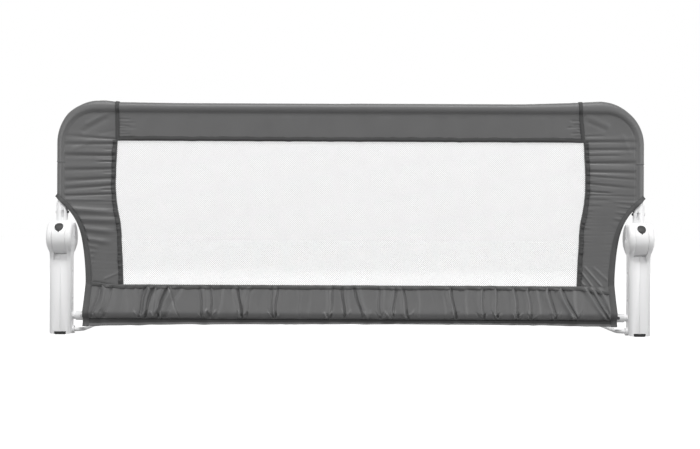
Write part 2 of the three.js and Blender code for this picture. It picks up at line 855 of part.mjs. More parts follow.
// One cross-section of the cover: from the front edge, round a tube or fold, to the back edge
function coverStation(edge, centre, outward, radius, fold) {
  const along = centre.clone().sub(edge);
  const path = (wrap, edgeDepth) => {
    const front = [];
    for (let step = 0; step < panelFlatSteps; step += 1) {
      const share = step / panelFlatSteps;
      const point = edge.clone().addScaledVector(along, share);
      const ridge = step === 0 ? 0 : fold * (1 - share);
      front.push([point.x, -THREE.MathUtils.lerp(edgeDepth, wrap, share) - ridge, point.y]);
    }
    const round = arcPoints(0, 0, wrap, -Math.PI / 2, Math.PI / 2, pocketArcSteps).map(([out, y]) => {
      const point = centre.clone().addScaledVector(outward, out);
      return [point.x, y, point.y];
    });
    const back = front.map(([x, y, z]) => [x, -y, z]).reverse();
    return [...front, ...round, ...back];
  };
  return {
    outer: path(radius + clothThickness, sheetOuter),
    inner: path(radius, sheetInner),
  };
}

function coverSheet(stations) {
  return sheet(stations.map((station) => station.outer), stations.map((station) => station.inner));
}

function place(x, z) {
  return new THREE.Vector2(x, z);
}

// Top band: a pocket over the straight run of the top tube
function topBand() {
  const ends = [bandSeamX, -bandSeamX];
  return coverSheet(ends.map((x) => {
    return coverStation(place(x, netTopHeight), place(x, topTubeHeight), upward, pocketRadius, 0);
  }));
}

// Side panel above the hinge line: round the corner, down the upright and in along the cover's side edge
function upperSidePanel() {
  const hingeLine = pivotHeight + hingeLineGap;
  const stations = [...cornerStations(), ...uprightStations(), ...leavingStations(hingeLine)];
  return cut(coverSheet(stations.reverse()), uprightSpace());
}

// Round the corner the panel fans out from the top corner of the net
function cornerStations() {
  const bendX = unitX - cornerRadius;
  const bendZ = topTubeHeight - cornerRadius;
  const seam = bandSeamX + clothGap;
  const turns = arcPoints(0, 0, 1, Math.PI / 2, 0, cornerSteps).map(([x, z]) => place(x, z));
  const centres = turns.map((turn) => place(bendX, bendZ).addScaledVector(turn, cornerRadius));
  const all = [{ turn: upward, centre: place(seam, topTubeHeight) }];
  turns.forEach((turn, index) => all.push({ turn, centre: centres[index] }));
  return all.map(({ turn, centre }, index) => {
    const height = THREE.MathUtils.mapLinear(index, 0, all.length - 1, netTopHeight, bendZ);
    const edge = place(Math.max(edgeAt(netEdge, height), seam), height);
    return coverStation(edge, centre, turn, pocketRadius, 0);
  });
}

// Down the upright the panel is gathered along the net
function uprightStations() {
  const high = topTubeHeight - cornerRadius;
  const stations = [];
  for (let step = 1; step <= 2 * panelFoldCount; step += 1) {
    const z = THREE.MathUtils.mapLinear(step, 0, 2 * panelFoldCount, high, flareHeight);
    const fold = step % 2 === 0 ? 0 : panelFoldDepth;
    stations.push(coverStation(place(edgeAt(netEdge, z), z), place(unitX, z), sideways, pocketRadius, fold));
  }
  return stations;
}

// Below the upright's pocket the panel closes to a flat fold along the cover's side edge
function leavingStations(lowest) {
  const heights = [...coverEdge.map(([, z]) => z), bindingTop].filter((z) => z > lowest && z < flareHeight);
  const downwards = [...heights.sort((a, b) => b - a), lowest];
  return downwards.map((z) => {
    const share = THREE.MathUtils.clamp((z - bindingTop) / (flareHeight - bindingTop), 0, 1);
    const radius = THREE.MathUtils.lerp(sheetInner, pocketRadius, share);
    const centre = place(edgeAt(coverEdge, z) - radius - clothThickness, z);
    return coverStation(place(edgeAt(netEdge, z), z), centre, sideways, radius, 0);
  });
}

// Room for the upright and its socket at the open foot of the pocket
function uprightSpace() {
  const socket = rodZ(socketRadius + clothGap, pivotHeight, pivotHeight + socketTop + clothGap, unitX, 0, armCapSides);
  return join(rodZ(tubeRadius + clothGap, pivotHeight, flareHeight, unitX, 0, tubeSides), socket);
}

// Side panel below the hinge line: two flat layers folded at the side edge
function lowerSidePanel() {
  const heights = [pivotHeight - hingeLineGap];
  for (const [, z] of coverEdge) {
    if (z < heights[0] && z > netBottomHeight) heights.push(z);
  }
  heights.push(netBottomHeight + clothGap);
  return coverSheet(heights.reverse().map((z) => {
    const centre = place(edgeAt(coverEdge, z) - sheetOuter, z);
    return coverStation(place(edgeAt(netEdge, z), z), centre, sideways, sheetInner, 0);
  }));
}

// Bottom band: a pocket round the lower cross tube, with a hem below it
function bottomBand() {
  const stations = [];
  const bandEndX = edgeAt(coverEdge, lowerTubeHeight);
  const count = 2 * bandFoldCount;
  for (let step = 0; step <= count; step += 1) {
    const share = THREE.MathUtils.mapLinear(step, 0, count, -1, 1);
    const flat = step % 2 === 0 || step === 1 || step === count - 1;
    const fold = flat ? 0 : bandFoldDepth;
    const edge = place(share * edgeAt(coverEdge, netBottomHeight), netBottomHeight);
    const centre = place(share * bandEndX, lowerTubeHeight);
    stations.push(coverStation(edge, centre, downward, pocketRadius, fold));
  }
  const pocketBottom = lowerTubeHeight - pocketRadius - clothThickness;
  const hem = block(
    [-bandEndX, -hemHalfDepth, pocketBottom - hemHeight],
    [bandEndX, hemHalfDepth, pocketBottom + hemTuck],
  );
  return join(coverSheet(stations), hem);
}

// Half the depth of the cover at its side edge, which opens to the pocket of the lower cross tube
function coverDepth(z) {
  const share = THREE.MathUtils.clamp((netBottomHeight - z) / (netBottomHeight - lowerTubeHeight), 0, 1);
  return THREE.MathUtils.lerp(sheetOuter, pocketRadius + clothThickness, share);
}

// Binding tape folded over the side edge between two heights
function binding(highZ, lowZ) {
  const heights = [highZ];
  for (const [, z] of coverEdge) {
    if (z < highZ && z > lowZ) heights.push(z);
  }
  heights.push(lowZ);
  heights.reverse();
  const layer = (grow) => heights.map((z) => {
    const depth = coverDepth(z) + grow;
    const x = edgeAt(coverEdge, z) + grow;
    const inX = edgeAt(coverEdge, z) - bindingWidth;
    return [[inX, -depth, z], [x, -depth, z], [x, depth, z], [inX, depth, z]];
  });
  return sheet(layer(clothGap + clothThickness), layer(clothGap));
}

// Net with staggered diamond gaps, between two heights
function net(lowZ, highZ) {
  const heights = [highZ, ...netEdge.map(([, z]) => z).filter((z) => z < highZ && z > lowZ), lowZ];
  const bounded = (z) => THREE.MathUtils.clamp(z, netBottomHeight, netTopHeight);
  const side = heights.map((z) => [edgeAt(netEdge, bounded(z)) + netTuck, z]);
  const outline = polygon([...side.map(([x, z]) => [-x, z]), ...side.reverse()]);
  const halfX = (gapPitchX - gapStrand) / 2;
  const halfZ = (gapPitchZ - gapStrand) / 2;
  const rows = Math.floor((highZ - lowZ - 2 * netBorder - 2 * halfZ) / (gapPitchZ / 2));
  const rowStart = (highZ + lowZ) / 2 - (rows * gapPitchZ) / 4;
  for (let row = 0; row <= rows; row += 1) {
    const z = rowStart + (row * gapPitchZ) / 2;
    const reach = edgeAt(netEdge, bounded(z)) - netBorder - halfX;
    const shift = row % 2 === 0 ? 0 : gapPitchX / 2;
    const count = Math.floor((reach - shift) / gapPitchX);
    for (let column = -count - (shift > 0 ? 1 : 0); column <= count; column += 1) {
      const x = shift + column * gapPitchX;
      outline.holes.push(polygon([[x - halfX, z], [x, z + halfZ], [x + halfX, z], [x, z - halfZ]]));
    }
  }
  return plateXZ(outline, -netThickness / 2, netThickness / 2);
}

// Assembly
const group = new THREE.Group();
group.name = 'bed_guard_rail';
group.position.y = -(armLength - headRadius) / 2;

function piece(parent, name, body, material) {
  const mesh = new THREE.Mesh(geometryOf(body), material);
  mesh.name = name;
  parent.add(mesh);
  return mesh;
}

// Adds a piece of one hinge unit; faces says which way its +X was drawn, 1 for away from the rail's middle
function unitPiece(parent, side, name, body, material, faces = 1) {
  const mesh = piece(parent, `${side.name}_${name}`, body, material);
  if (side.sign * faces < 0) mesh.geometry = mirrorX(mesh.geometry);
  return mesh;
}

function addHousing(unit, side) {
  unitPiece(unit, side, 'outer_shell', outerShell(), shellWhite());
  unitPiece(unit, side, 'inner_shell', innerShell(), shellWhite(), -1);
  unitPiece(unit, side, 'foot_pad', footPadForm(0, 0), blackRubber());
  screwHeights.forEach((z, index) => {
    unitPiece(unit, side, `shell_screw_${index + 1}`, shellScrew(z), bareSteel(), -1);
  });
}

function addArm(unit, side) {
  unitPiece(unit, side, 'arm', arm(), paintedWhite(), -1);
  unitPiece(unit, side, 'arm_cap', armCap(), blackRubber(), -1);
}

function addCrossPlug(unit, side) {
  const plug = unitPiece(unit, side, 'cross_tube_plug', crossPlug(), shellWhite(), -1);
  plug.position.z = lowerTubeHeight;
  const snap = new THREE.Group();
  snap.position.set(-side.sign * (crossTubeEnd + lowerSnapInset), 0, lowerTubeHeight);
  const turn = new THREE.Matrix4().makeBasis(
    new THREE.Vector3(0, 1, 0),
    new THREE.Vector3(0, 0, -side.sign),
    new THREE.Vector3(-side.sign, 0, 0),
  );
  snap.setRotationFromMatrix(turn);
  unit.add(snap);
  piece(snap, `${side.name}_lower_snap`, snapButton(tubeRadius, plugRadius - tubeWall), bareSteel());
  piece(snap, `${side.name}_lower_snap_leaf`, snapLeaf(plugRadius - tubeWall), bareSteel());
}

function addHinge(unit, side) {
  const pivot = new THREE.Group();
  pivot.position.z = pivotHeight;
  unit.add(pivot);
  unitPiece(pivot, side, 'pivot_bolt', pivotBolt(), bareSteel(), -1);
  unitPiece(pivot, side, 'pivot_nut', pivotNut(), bareSteel());
  unitPiece(pivot, side, 'hinge_drum', drum(), shellWhite());
  const lock = new THREE.Group();
  lock.rotation.x = -buttonTilt;
  pivot.add(lock);
  unitPiece(lock, side, 'push_button', pushButton(), buttonGrey());
  unitPiece(lock, side, 'lock_bar', lockBar(), bareSteel());
  unitPiece(lock, side, 'button_spring', buttonSpring(), bareSteel());
}

function addUpright(unit, side) {
  unitPiece(unit, side, 'upright', upright(), paintedWhite());
  const snap = new THREE.Group();
  snap.position.z = pivotHeight + upperSnapHeight;
  unit.add(snap);
  unitPiece(snap, side, 'upper_snap', snapButton(socketRadius, tubeInner), bareSteel());
  unitPiece(snap, side, 'upper_snap_leaf', snapLeaf(tubeInner), bareSteel());
}

function addSideCover(side) {
  const above = pivotHeight + bindingGap;
  const below = pivotHeight - bindingGap;
  unitPiece(group, side, 'upper_side_panel', upperSidePanel(), coverGrey());
  unitPiece(group, side, 'lower_side_panel', lowerSidePanel(), coverGrey());
  unitPiece(group, side, 'upper_binding', binding(bindingTop, above), bindingGrey());
  unitPiece(group, side, 'lower_binding', binding(below, bindingBottom), bindingGrey());
}

for (const side of [{ name: 'left', sign: -1 }, { name: 'right', sign: 1 }]) {
  const unit = new THREE.Group();
  unit.position.x = side.sign * unitX;
  group.add(unit);
  addHousing(unit, side);
  addArm(unit, side);
  addCrossPlug(unit, side);
  addHinge(unit, side);
  addUpright(unit, side);
  addSideCover(side);
}

piece(group, 'top_tube', topTube(), paintedWhite());
piece(group, 'lower_cross_tube', crossTube(), paintedWhite());
piece(group, 'top_band', topBand(), coverGrey());
piece(group, 'bottom_band', bottomBand(), coverGrey());
piece(group, 'upper_net', net(pivotHeight + hingeLineGap, netTopHeight + netTuck), netWhite());
piece(group, 'lower_net', net(netBottomHeight - netTuck, pivotHeight - hingeLineGap), netWhite());

export default group;
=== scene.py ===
import json
import math
import random
from functools import partial

import bmesh
import bpy
import numpy as np
from mathutils import Matrix, Vector


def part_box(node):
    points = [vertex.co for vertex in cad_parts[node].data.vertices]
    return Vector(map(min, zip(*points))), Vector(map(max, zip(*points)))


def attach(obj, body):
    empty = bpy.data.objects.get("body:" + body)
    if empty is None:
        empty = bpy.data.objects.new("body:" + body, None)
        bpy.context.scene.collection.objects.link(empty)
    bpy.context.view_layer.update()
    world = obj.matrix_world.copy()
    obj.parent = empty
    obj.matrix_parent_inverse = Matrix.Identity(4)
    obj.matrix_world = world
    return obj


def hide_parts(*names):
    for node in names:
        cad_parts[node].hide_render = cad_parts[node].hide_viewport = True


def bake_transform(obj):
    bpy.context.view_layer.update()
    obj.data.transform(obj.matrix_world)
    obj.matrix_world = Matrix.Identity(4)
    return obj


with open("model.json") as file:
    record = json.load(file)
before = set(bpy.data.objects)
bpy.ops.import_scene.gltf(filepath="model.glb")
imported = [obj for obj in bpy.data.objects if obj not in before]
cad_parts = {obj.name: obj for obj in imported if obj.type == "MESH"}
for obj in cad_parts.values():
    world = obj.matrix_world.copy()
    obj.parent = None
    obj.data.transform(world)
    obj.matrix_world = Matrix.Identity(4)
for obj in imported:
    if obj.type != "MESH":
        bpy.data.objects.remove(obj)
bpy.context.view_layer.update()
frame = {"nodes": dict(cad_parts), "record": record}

# Places taken from the frame, in metres
JOINTS = {joint["name"]: joint for joint in frame["record"]["behaviour"]["joints"]}
PIVOT_Y, PIVOT_Z = JOINTS["fold"]["pos_m"][1:]
TUBE_Y = PIVOT_Y
DRUM_LOW, DRUM_HIGH = (Vector(corner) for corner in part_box("right_hinge_drum"))
UNIT_X = (DRUM_LOW.x + DRUM_HIGH.x) / 2
TOP_TUBE_LOW, TOP_TUBE_HIGH = (Vector(corner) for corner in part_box("top_tube"))
TUBE_RADIUS = TOP_TUBE_HIGH.x - UNIT_X
TOP_TUBE_Z = TOP_TUBE_HIGH.z - TUBE_RADIUS
CROSS_LOW, CROSS_HIGH = (Vector(corner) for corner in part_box("lower_cross_tube"))
CROSS_TUBE_Z = (CROSS_LOW.z + CROSS_HIGH.z) / 2
TUBE_JOINT_Z = TOP_TUBE_LOW.z
CORNER_RADIUS = 0.062
SIDES = {"left": -1, "right": 1}

# The cover's main sizes, in metres
POCKET_GAP = 0.0009
POCKET = TUBE_RADIUS + POCKET_GAP
SEAM_X = 0.4065
SEAM_LEAN = 0.003
NET_TOP = 0.338
NET_BOTTOM = 0.0868
FLARE_Z = 0.2405
FLARE_REACH = 0.0120
FLARE_X = UNIT_X + FLARE_REACH
FLANGE_BOTTOM = 0.0166
SIDE_DEPTH = 0.0019
HEM_WIDTH = 0.0080
BOTTOM_HEM_WIDTH = 0.0072
BINDING_WIDTH = 0.0108
BINDING_WIDTH_AT_FLARE = 0.0080

# Front view of the window's side and of the cover's free side edge: [distance from the middle, height]
NET_EDGE = [
    (0.4077, 0.3380), (0.4092, 0.3100), (0.4106, 0.2600), (0.4095, 0.2400), (0.4066, 0.2180),
    (0.4020, 0.1950), (0.3998, 0.1600), (0.3975, 0.1200), (0.3965, 0.0880),
]
FREE_EDGE = [
    (FLARE_X, FLARE_Z), (0.5040, 0.2300), (0.4955, 0.2215), (0.4870, 0.2115), (0.4800, 0.2000),
    (0.4745, 0.1870), (0.4705, 0.1740), (0.4670, 0.1560), (0.4642, 0.1340), (0.4625, 0.1120),
    (0.4620, 0.0900), (0.4632, 0.0650), (0.4648, 0.0400), (0.4655, FLANGE_BOTTOM),
]


# Small sums
def smooth_step(value):
    """From 0 to 1 in a soft step, as the value runs from 0 to 1."""
    share = np.clip(value, 0, 1)
    return share * share * (3 - 2 * share)


def hump(distance, width):
    """Height of a soft round wave of height 1 at a distance from its middle."""
    return np.exp(-((distance / width) ** 2))


def edge_x(edge, height):
    """Distance from the middle of an edge line at a height, on a smooth curve through its points."""
    places = np.array(edge)[::-1]
    xs, zs = places[:, 0], places[:, 1]
    slopes = np.gradient(xs, zs)
    height = np.clip(np.asarray(height, float), zs[0], zs[-1])
    index = np.clip(np.searchsorted(zs, height) - 1, 0, len(zs) - 2)
    span = zs[index + 1] - zs[index]
    t = (height - zs[index]) / span
    a, b = xs[index], xs[index + 1]
    slope_a, slope_b = slopes[index] * span, slopes[index + 1] * span
    return (
        (2 * t**3 - 3 * t**2 + 1) * a
        + (t**3 - 2 * t**2 + t) * slope_a
        + (3 * t**2 - 2 * t**3) * b
        + (t**3 - t**2) * slope_b
    )


def draw(generator, ranges):
    """One random number from each range, in order."""
    return [generator.uniform(*limits) for limits in ranges]


def curve_through(points, steps):
    """A smooth line through points, as a Catmull-Rom curve."""
    points = [np.array(point) for point in points]
    points = [2 * points[0] - points[1], *points, 2 * points[-1] - points[-2]]
    made = []
    for share in np.linspace(0, len(points) - 3, steps):
        index = min(int(share), len(points) - 4)
        t = share - index
        a, b, c, d = points[index : index + 4]
        square = 2 * a - 5 * b + 4 * c - d
        cube = 3 * b - a - 3 * c + d
        made.append(tuple(0.5 * (2 * b + (c - a) * t + square * t**2 + cube * t**3)))
    return made


def lengths_along(path):
    """Distance of each point from the path's start, measured along the path."""
    return np.concatenate([[0], np.cumsum(np.linalg.norm(np.diff(path, axis=0), axis=1))])


def edge_normals(path):
    """Unit vectors in the front view, to the left of the path's direction."""
    run = np.gradient(path, axis=0)
    run /= np.linalg.norm(run, axis=1)[:, None]
    return np.column_stack([-run[:, 1], run[:, 0]])


def at_depth(place, depth):
    """Points at places in the front view that stand the depth in front of the tube's plane."""
    return np.column_stack([place[:, 0], -depth, place[:, 1]])


def placed(points):
    """From the tube's plane, where y is zero, to the row frame."""
    points = np.array(points)
    points[..., 1] += TUBE_Y
    return points


def mirrored(points, sign):
    points = np.array(points)
    points[..., 0] *= sign
    return points


# Mesh helpers
WELD_DISTANCE = 0.00002


def new_object(name, vertices, faces, material, smooth=True):
    mesh = bpy.data.meshes.new(name)
    mesh.from_pydata([tuple(v) for v in vertices], [], faces)
    mesh.validate()
    piece = bpy.data.objects.new(name, mesh)
    bpy.context.collection.objects.link(piece)
    mesh.materials.append(material)
    if smooth:
        mesh.shade_smooth()
    else:
        mesh.shade_flat()
    return piece


def grid_object(name, points, material):
    """An open sheet from points[row][column], with UVs in metres along the sheet."""
    points = np.asarray(points, float)
    rows, columns = points.shape[:2]
    corner = np.arange(rows * columns).reshape(rows, columns)
    faces = np.stack([corner[:-1, :-1], corner[:-1, 1:], corner[1:, 1:], corner[1:, :-1]], axis=-1)
    piece = new_object(name, points.reshape(-1, 3), faces.reshape(-1, 4).tolist(), material)
    across = np.cumsum(np.linalg.norm(np.diff(points, axis=1, prepend=points[:, :1]), axis=2), axis=1)
    along = np.cumsum(np.linalg.norm(np.diff(points, axis=0, prepend=points[:1]), axis=2), axis=0)
    uvs = np.stack([across, along], axis=-1).reshape(-1, 2)
    layer = piece.data.uv_layers.new(name="UVMap")
    loops = np.empty(len(piece.data.loops), int)
    piece.data.loops.foreach_get("vertex_index", loops)
    layer.data.foreach_set("uv", uvs[loops].ravel().astype(np.float32))
    return piece


def join_as(name, pieces):
    """Joins meshes into the first one."""
    first = pieces[0]
    with bpy.context.temp_override(active_object=first, selected_editable_objects=pieces):
        bpy.ops.object.join()
    first.name = name
    return first


def weld_object(piece):
    mesh = bmesh.new()
    mesh.from_mesh(piece.data)
    bmesh.ops.remove_doubles(mesh, verts=mesh.verts, dist=WELD_DISTANCE)
    bmesh.ops.recalc_face_normals(mesh, faces=mesh.faces)
    mesh.to_mesh(piece.data)
    mesh.free()
    return piece


def get_points(piece):
    points = np.empty(len(piece.data.vertices) * 3)
    piece.data.vertices.foreach_get("co", points)
    return points.reshape(-1, 3)


def set_points(piece, points):
    piece.data.vertices.foreach_set("co", points.ravel())
    piece.data.update()


def hinge_blend(piece):
    """Bakes the piece's place into its mesh, for cloth and thread that cross the hinge line."""
    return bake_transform(piece)


# Node helpers
def put(tree, socket, value):
    """Sets a socket to a value, or links it to another node's output."""
    if isinstance(value, bpy.types.NodeSocket):
        tree.links.new(value, socket)
    else:
        socket.default_value = value


def add_node(tree, kind, inputs=(), **settings):
    """A new node; inputs pairs the names or numbers of its sockets with values or outputs."""
    node = tree.nodes.new(kind)
    for key, value in settings.items():
        setattr(node, key, value)
    for key, value in dict(inputs).items():
        put(tree, node.inputs[key], value)
    return node


def noise(tree, scale, detail=2.0):
    """Noise over the piece's own place, with its scale in waves a metre."""
    place = add_node(tree, "ShaderNodeTexCoord").outputs["Object"]
    inputs = {"Scale": scale, "Detail": detail, "Vector": place}
    return add_node(tree, "ShaderNodeTexNoise", inputs).outputs["Fac"]


def waves(tree, scale, direction):
    """Straight bands along the cloth; each is pi / (10 x scale) wide."""
    flat = add_node(tree, "ShaderNodeTexCoord").outputs["UV"]
    inputs = {"Scale": scale, "Distortion": 0.0, "Vector": flat}
    return add_node(tree, "ShaderNodeTexWave", inputs, bands_direction=direction).outputs["Fac"]


def map_range(tree, value, low, high):
    inputs = {"Value": value, "To Min": low, "To Max": high}
    return add_node(tree, "ShaderNodeMapRange", inputs).outputs["Result"]


def spread(tree, value, middle, less, more):
    return map_range(tree, value, middle - less, middle + more)


def math_node(tree, operation, a, b):
    return add_node(tree, "ShaderNodeMath", {0: a, 1: b}, operation=operation).outputs["Value"]


def varied_colour(tree, factor, dark, light):
    inputs = {"Factor": factor, "A": (*dark, 1), "B": (*light, 1)}
    return add_node(tree, "ShaderNodeMix", inputs, data_type="RGBA").outputs["Result"]


def bump(tree, height, distance, strength):
    inputs = {"Distance": distance, "Strength": strength, "Height": height}
    return add_node(tree, "ShaderNodeBump", inputs).outputs["Normal"]


def new_material(name):
    material = bpy.data.materials.new(name)
    material.use_nodes = True
    return material, material.node_tree


def set_shader(material, inputs):
    shader = material.node_tree.nodes["Principled BSDF"]
    for key, value in inputs.items():
        put(material.node_tree, shader.inputs[key], value)
    return material


# Materials
THREAD_FLATNESS = 10
STEEL_SHADE = 0.8
GREY_TINT = 1.005


def woven(name, dark, light, roughness, thread=0.00045, sheen=0.05, gloss=0.2):
    """Plain weave: two sets of threads that pass over each other, with slight colour variation."""
    material, tree = new_material(name)
    bands = math.pi / (10 * thread)
    weave = math_node(tree, "MAXIMUM", waves(tree, bands, "X"), waves(tree, bands, "Y"))
    blotch = noise(tree, scale=24.0, detail=3.0)
    grain = map_range(tree, noise(tree, scale=900.0, detail=1.0), low=-0.18, high=0.18)
    return set_shader(material, {
        "Base Color": varied_colour(tree, math_node(tree, "ADD", blotch, grain), dark, light),
        "Roughness": spread(tree, blotch, roughness, less=0.05, more=0.05),
        "Sheen Weight": sheen,
        "Sheen Roughness": 0.4,
        "Specular IOR Level": gloss,
        "Normal": bump(tree, weave, distance=thread / THREAD_FLATNESS, strength=0.5),
    })


def moulded(name, dark, light, roughness, grain_scale=2600.0, grain_depth=0.00003):
    """Satin moulded plastic: fine grain, faint cloudiness and handling sheen."""
    material, tree = new_material(name)
    rubs = noise(tree, scale=60.0, detail=3.0)
    grain = noise(tree, grain_scale, detail=1.0)
    return set_shader(material, {
        "Base Color": varied_colour(tree, noise(tree, scale=18.0), dark, light),
        "Roughness": spread(tree, rubs, roughness, less=0.06, more=0.08),
        "Specular IOR Level": 0.45,
        "Normal": bump(tree, grain, grain_depth, strength=0.5),
    })


def painted(name, dark, light, roughness):
    """Powder coat: slight orange peel over steel."""
    material, tree = new_material(name)
    rubs = noise(tree, scale=90.0)
    return set_shader(material, {
        "Base Color": varied_colour(tree, noise(tree, scale=30.0), dark, light),
        "Roughness": spread(tree, rubs, roughness, less=0.05, more=0.05),
        "Coat Weight": 0.2,
        "Coat Roughness": 0.2,
        "Normal": bump(tree, noise(tree, scale=700.0), distance=0.00004, strength=0.5),
    })


def steel(name, colour, roughness):
    """Drawn steel with a fine grain."""
    material, tree = new_material(name)
    fine = noise(tree, scale=500.0, detail=3.0)
    darker = tuple(value * STEEL_SHADE for value in colour)
    return set_shader(material, {
        "Base Color": varied_colour(tree, fine, darker, colour),
        "Roughness": spread(tree, fine, roughness, less=0.08, more=0.08),
        "Metallic": 1.0,
        "Normal": bump(tree, fine, distance=0.00003, strength=0.4),
    })


def rubber(name, dark, light):
    """Matte rubber with a little dust."""
    material, tree = new_material(name)
    dust = noise(tree, scale=120.0, detail=4.0)
    return set_shader(material, {
        "Base Color": varied_colour(tree, dust, dark, light),
        "Roughness": map_range(tree, dust, low=0.72, high=0.9),
        "Normal": bump(tree, noise(tree, scale=1500.0), distance=0.00006, strength=0.6),
    })


def grey(value):
    return (value, value, value * GREY_TINT)


COVER = woven("cover_cloth", grey(0.100), grey(0.119), 0.42, sheen=0.02, gloss=0.42)
HEM = woven("hem_cloth", grey(0.058), grey(0.076), 0.75)
BAND_HEM = woven("band_hem_cloth", grey(0.046), grey(0.060), 0.52, sheen=0.02, gloss=0.35)
TAPE = woven("binding_tape", grey(0.084), grey(0.104), 0.7, 0.0006)
# Near-black cloth that paints the shadow in the crease under the bottom band's pocket
PAINTED_CREASE_SHADOW = woven("painted_crease_shadow", grey(0.006), grey(0.010), 0.8, 0.0003)
THREAD = moulded("sewing_thread", grey(0.045), grey(0.06), 0.6)
NET = moulded("net_thread", grey(0.745), grey(0.805), 0.7, 3000.0, 0.00002)
SHELL = moulded("shell_plastic", grey(0.83), grey(0.87), 0.42)
BUTTON = moulded("button_plastic", grey(0.014), grey(0.026), 0.5, 1800.0, 0.00006)
PAINT = painted("painted_steel", grey(0.72), grey(0.76), 0.38)
STEEL = steel("bright_steel", (0.52, 0.52, 0.53), 0.36)
# Darker steel; on the right lower snap its darkness is painted shade in the hole round the button
DARK_STEEL_AND_PAINTED_SHADE = steel("dark_steel_and_painted_shade", (0.10, 0.10, 0.105), 0.45)
RUBBER = rubber("black_rubber", grey(0.005), grey(0.012))


# CAD nodes that stay: welded, with smooth rounds, crisp edges and small edge radii
SHARP_ANGLE = math.radians(32)
EDGE_SEGMENTS = 2


def smooth_group():
    """Shades every face smooth and keeps each edge over the sharp angle crisp."""
    group = bpy.data.node_groups.new("smooth_by_angle", "GeometryNodeTree")
    for direction in ("INPUT", "OUTPUT"):
        group.interface.new_socket("Geometry", in_out=direction, socket_type="NodeSocketGeometry")
    source = add_node(group, "NodeGroupInput")
    angle = add_node(group, "GeometryNodeInputMeshEdgeAngle").outputs["Unsigned Angle"]
    sharp = add_node(group, "FunctionNodeCompare", {0: angle, 1: SHARP_ANGLE}, operation="GREATER_THAN")
    faces = add_node(group, "GeometryNodeSetShadeSmooth", {"Geometry": source.outputs[0]}, domain="FACE")
    inputs = {"Geometry": faces.outputs[0], "Selection": sharp.outputs[0], "Shade Smooth": False}
    edges = add_node(group, "GeometryNodeSetShadeSmooth", inputs, domain="EDGE")
    add_node(group, "NodeGroupOutput", {0: edges.outputs[0]})
    return group


SMOOTH = smooth_group()


def dress(node, material, edge=0.0):
    """Gives a CAD node its material and, where edge is over zero, edges rounded by that width."""
    piece = frame["nodes"][node]
    piece.data.materials.clear()
    piece.data.materials.append(material)
    weld = piece.modifiers.new("weld", "WELD")
    weld.merge_threshold = WELD_DISTANCE
    if edge > 0:
        bevel = piece.modifiers.new("edges", "BEVEL")
        bevel.width = edge
        bevel.segments = EDGE_SEGMENTS
        bevel.limit_method = "ANGLE"
        bevel.angle_limit = SHARP_ANGLE
        bevel.use_clamp_overlap = True
    group = piece.modifiers.new("smooth", "NODES")
    group.node_group = SMOOTH


# Material and edge width of the nodes that each side has
NODE_LOOKS = {
    "outer_shell": (SHELL, 0.0004), "inner_shell": (SHELL, 0.0004), "hinge_drum": (SHELL, 0.0004),
    "cross_tube_plug": (SHELL, 0.0003), "foot_pad": (RUBBER, 0.0004), "arm_cap": (RUBBER, 0.0),
    "shell_screw_1": (STEEL, 0.0), "shell_screw_2": (STEEL, 0.0), "pivot_bolt": (STEEL, 0.0002),
    "pivot_nut": (STEEL, 0.0002), "lock_bar": (STEEL, 0.0002), "button_spring": (STEEL, 0.0),
    "upper_snap": (DARK_STEEL_AND_PAINTED_SHADE, 0.0), "upper_snap_leaf": (STEEL, 0.0),
    "lower_snap_leaf": (STEEL, 0.0), "push_button": (BUTTON, 0.0005), "arm": (PAINT, 0.0),
    "upright": (PAINT, 0.0),
}


def dress_frame():
    for side in SIDES:
        for node, (material, edge) in NODE_LOOKS.items():
            dress(f"{side}_{node}", material, edge)
    # The left lower snap is bright steel and the right one dark steel, which paints the shade in its hole
    dress("left_lower_snap", STEEL)
    dress("right_lower_snap", DARK_STEEL_AND_PAINTED_SHADE)
    dress("top_tube", PAINT)
    dress("lower_cross_tube", PAINT)


# Wrinkles: each is a line in the front view that the cloth rises or dips along
CREASE_SOFT = 0.18
CREASE_LEVEL = 0.4
PAST_END = 0.2


def crease(
    x, z, start, end, width, height,
    start_soft=CREASE_SOFT, start_level=CREASE_LEVEL, start_spread=0.0, end_soft=CREASE_SOFT,
):
    """Height of a fold from start to end, which fades out at both ends and to both sides."""
    run = np.array(end) - np.array(start)
    length = np.hypot(*run)
    unit = run / length
    along = (x - start[0]) * unit[0] + (z - start[1]) * unit[1]
    side = (z - start[1]) * unit[0] - (x - start[0]) * unit[1]
    share = np.clip(along / length, -PAST_END, 1 + PAST_END)
    fade = smooth_step(share / start_soft + start_level) * smooth_step((1 - share) / end_soft + CREASE_LEVEL)
    return height * fade * hump(side, width * (1 + start_spread * (1 - share)))


def add_waves(height, generator, x, rise, count, ranges):
    """Adds soft waves to height, which lean over with the rise; ranges are for place, width, depth
    and lean."""
    for _ in range(count):
        at, width, depth, lean = draw(generator, ranges)
        height += depth * hump(x - at - lean * rise, width)


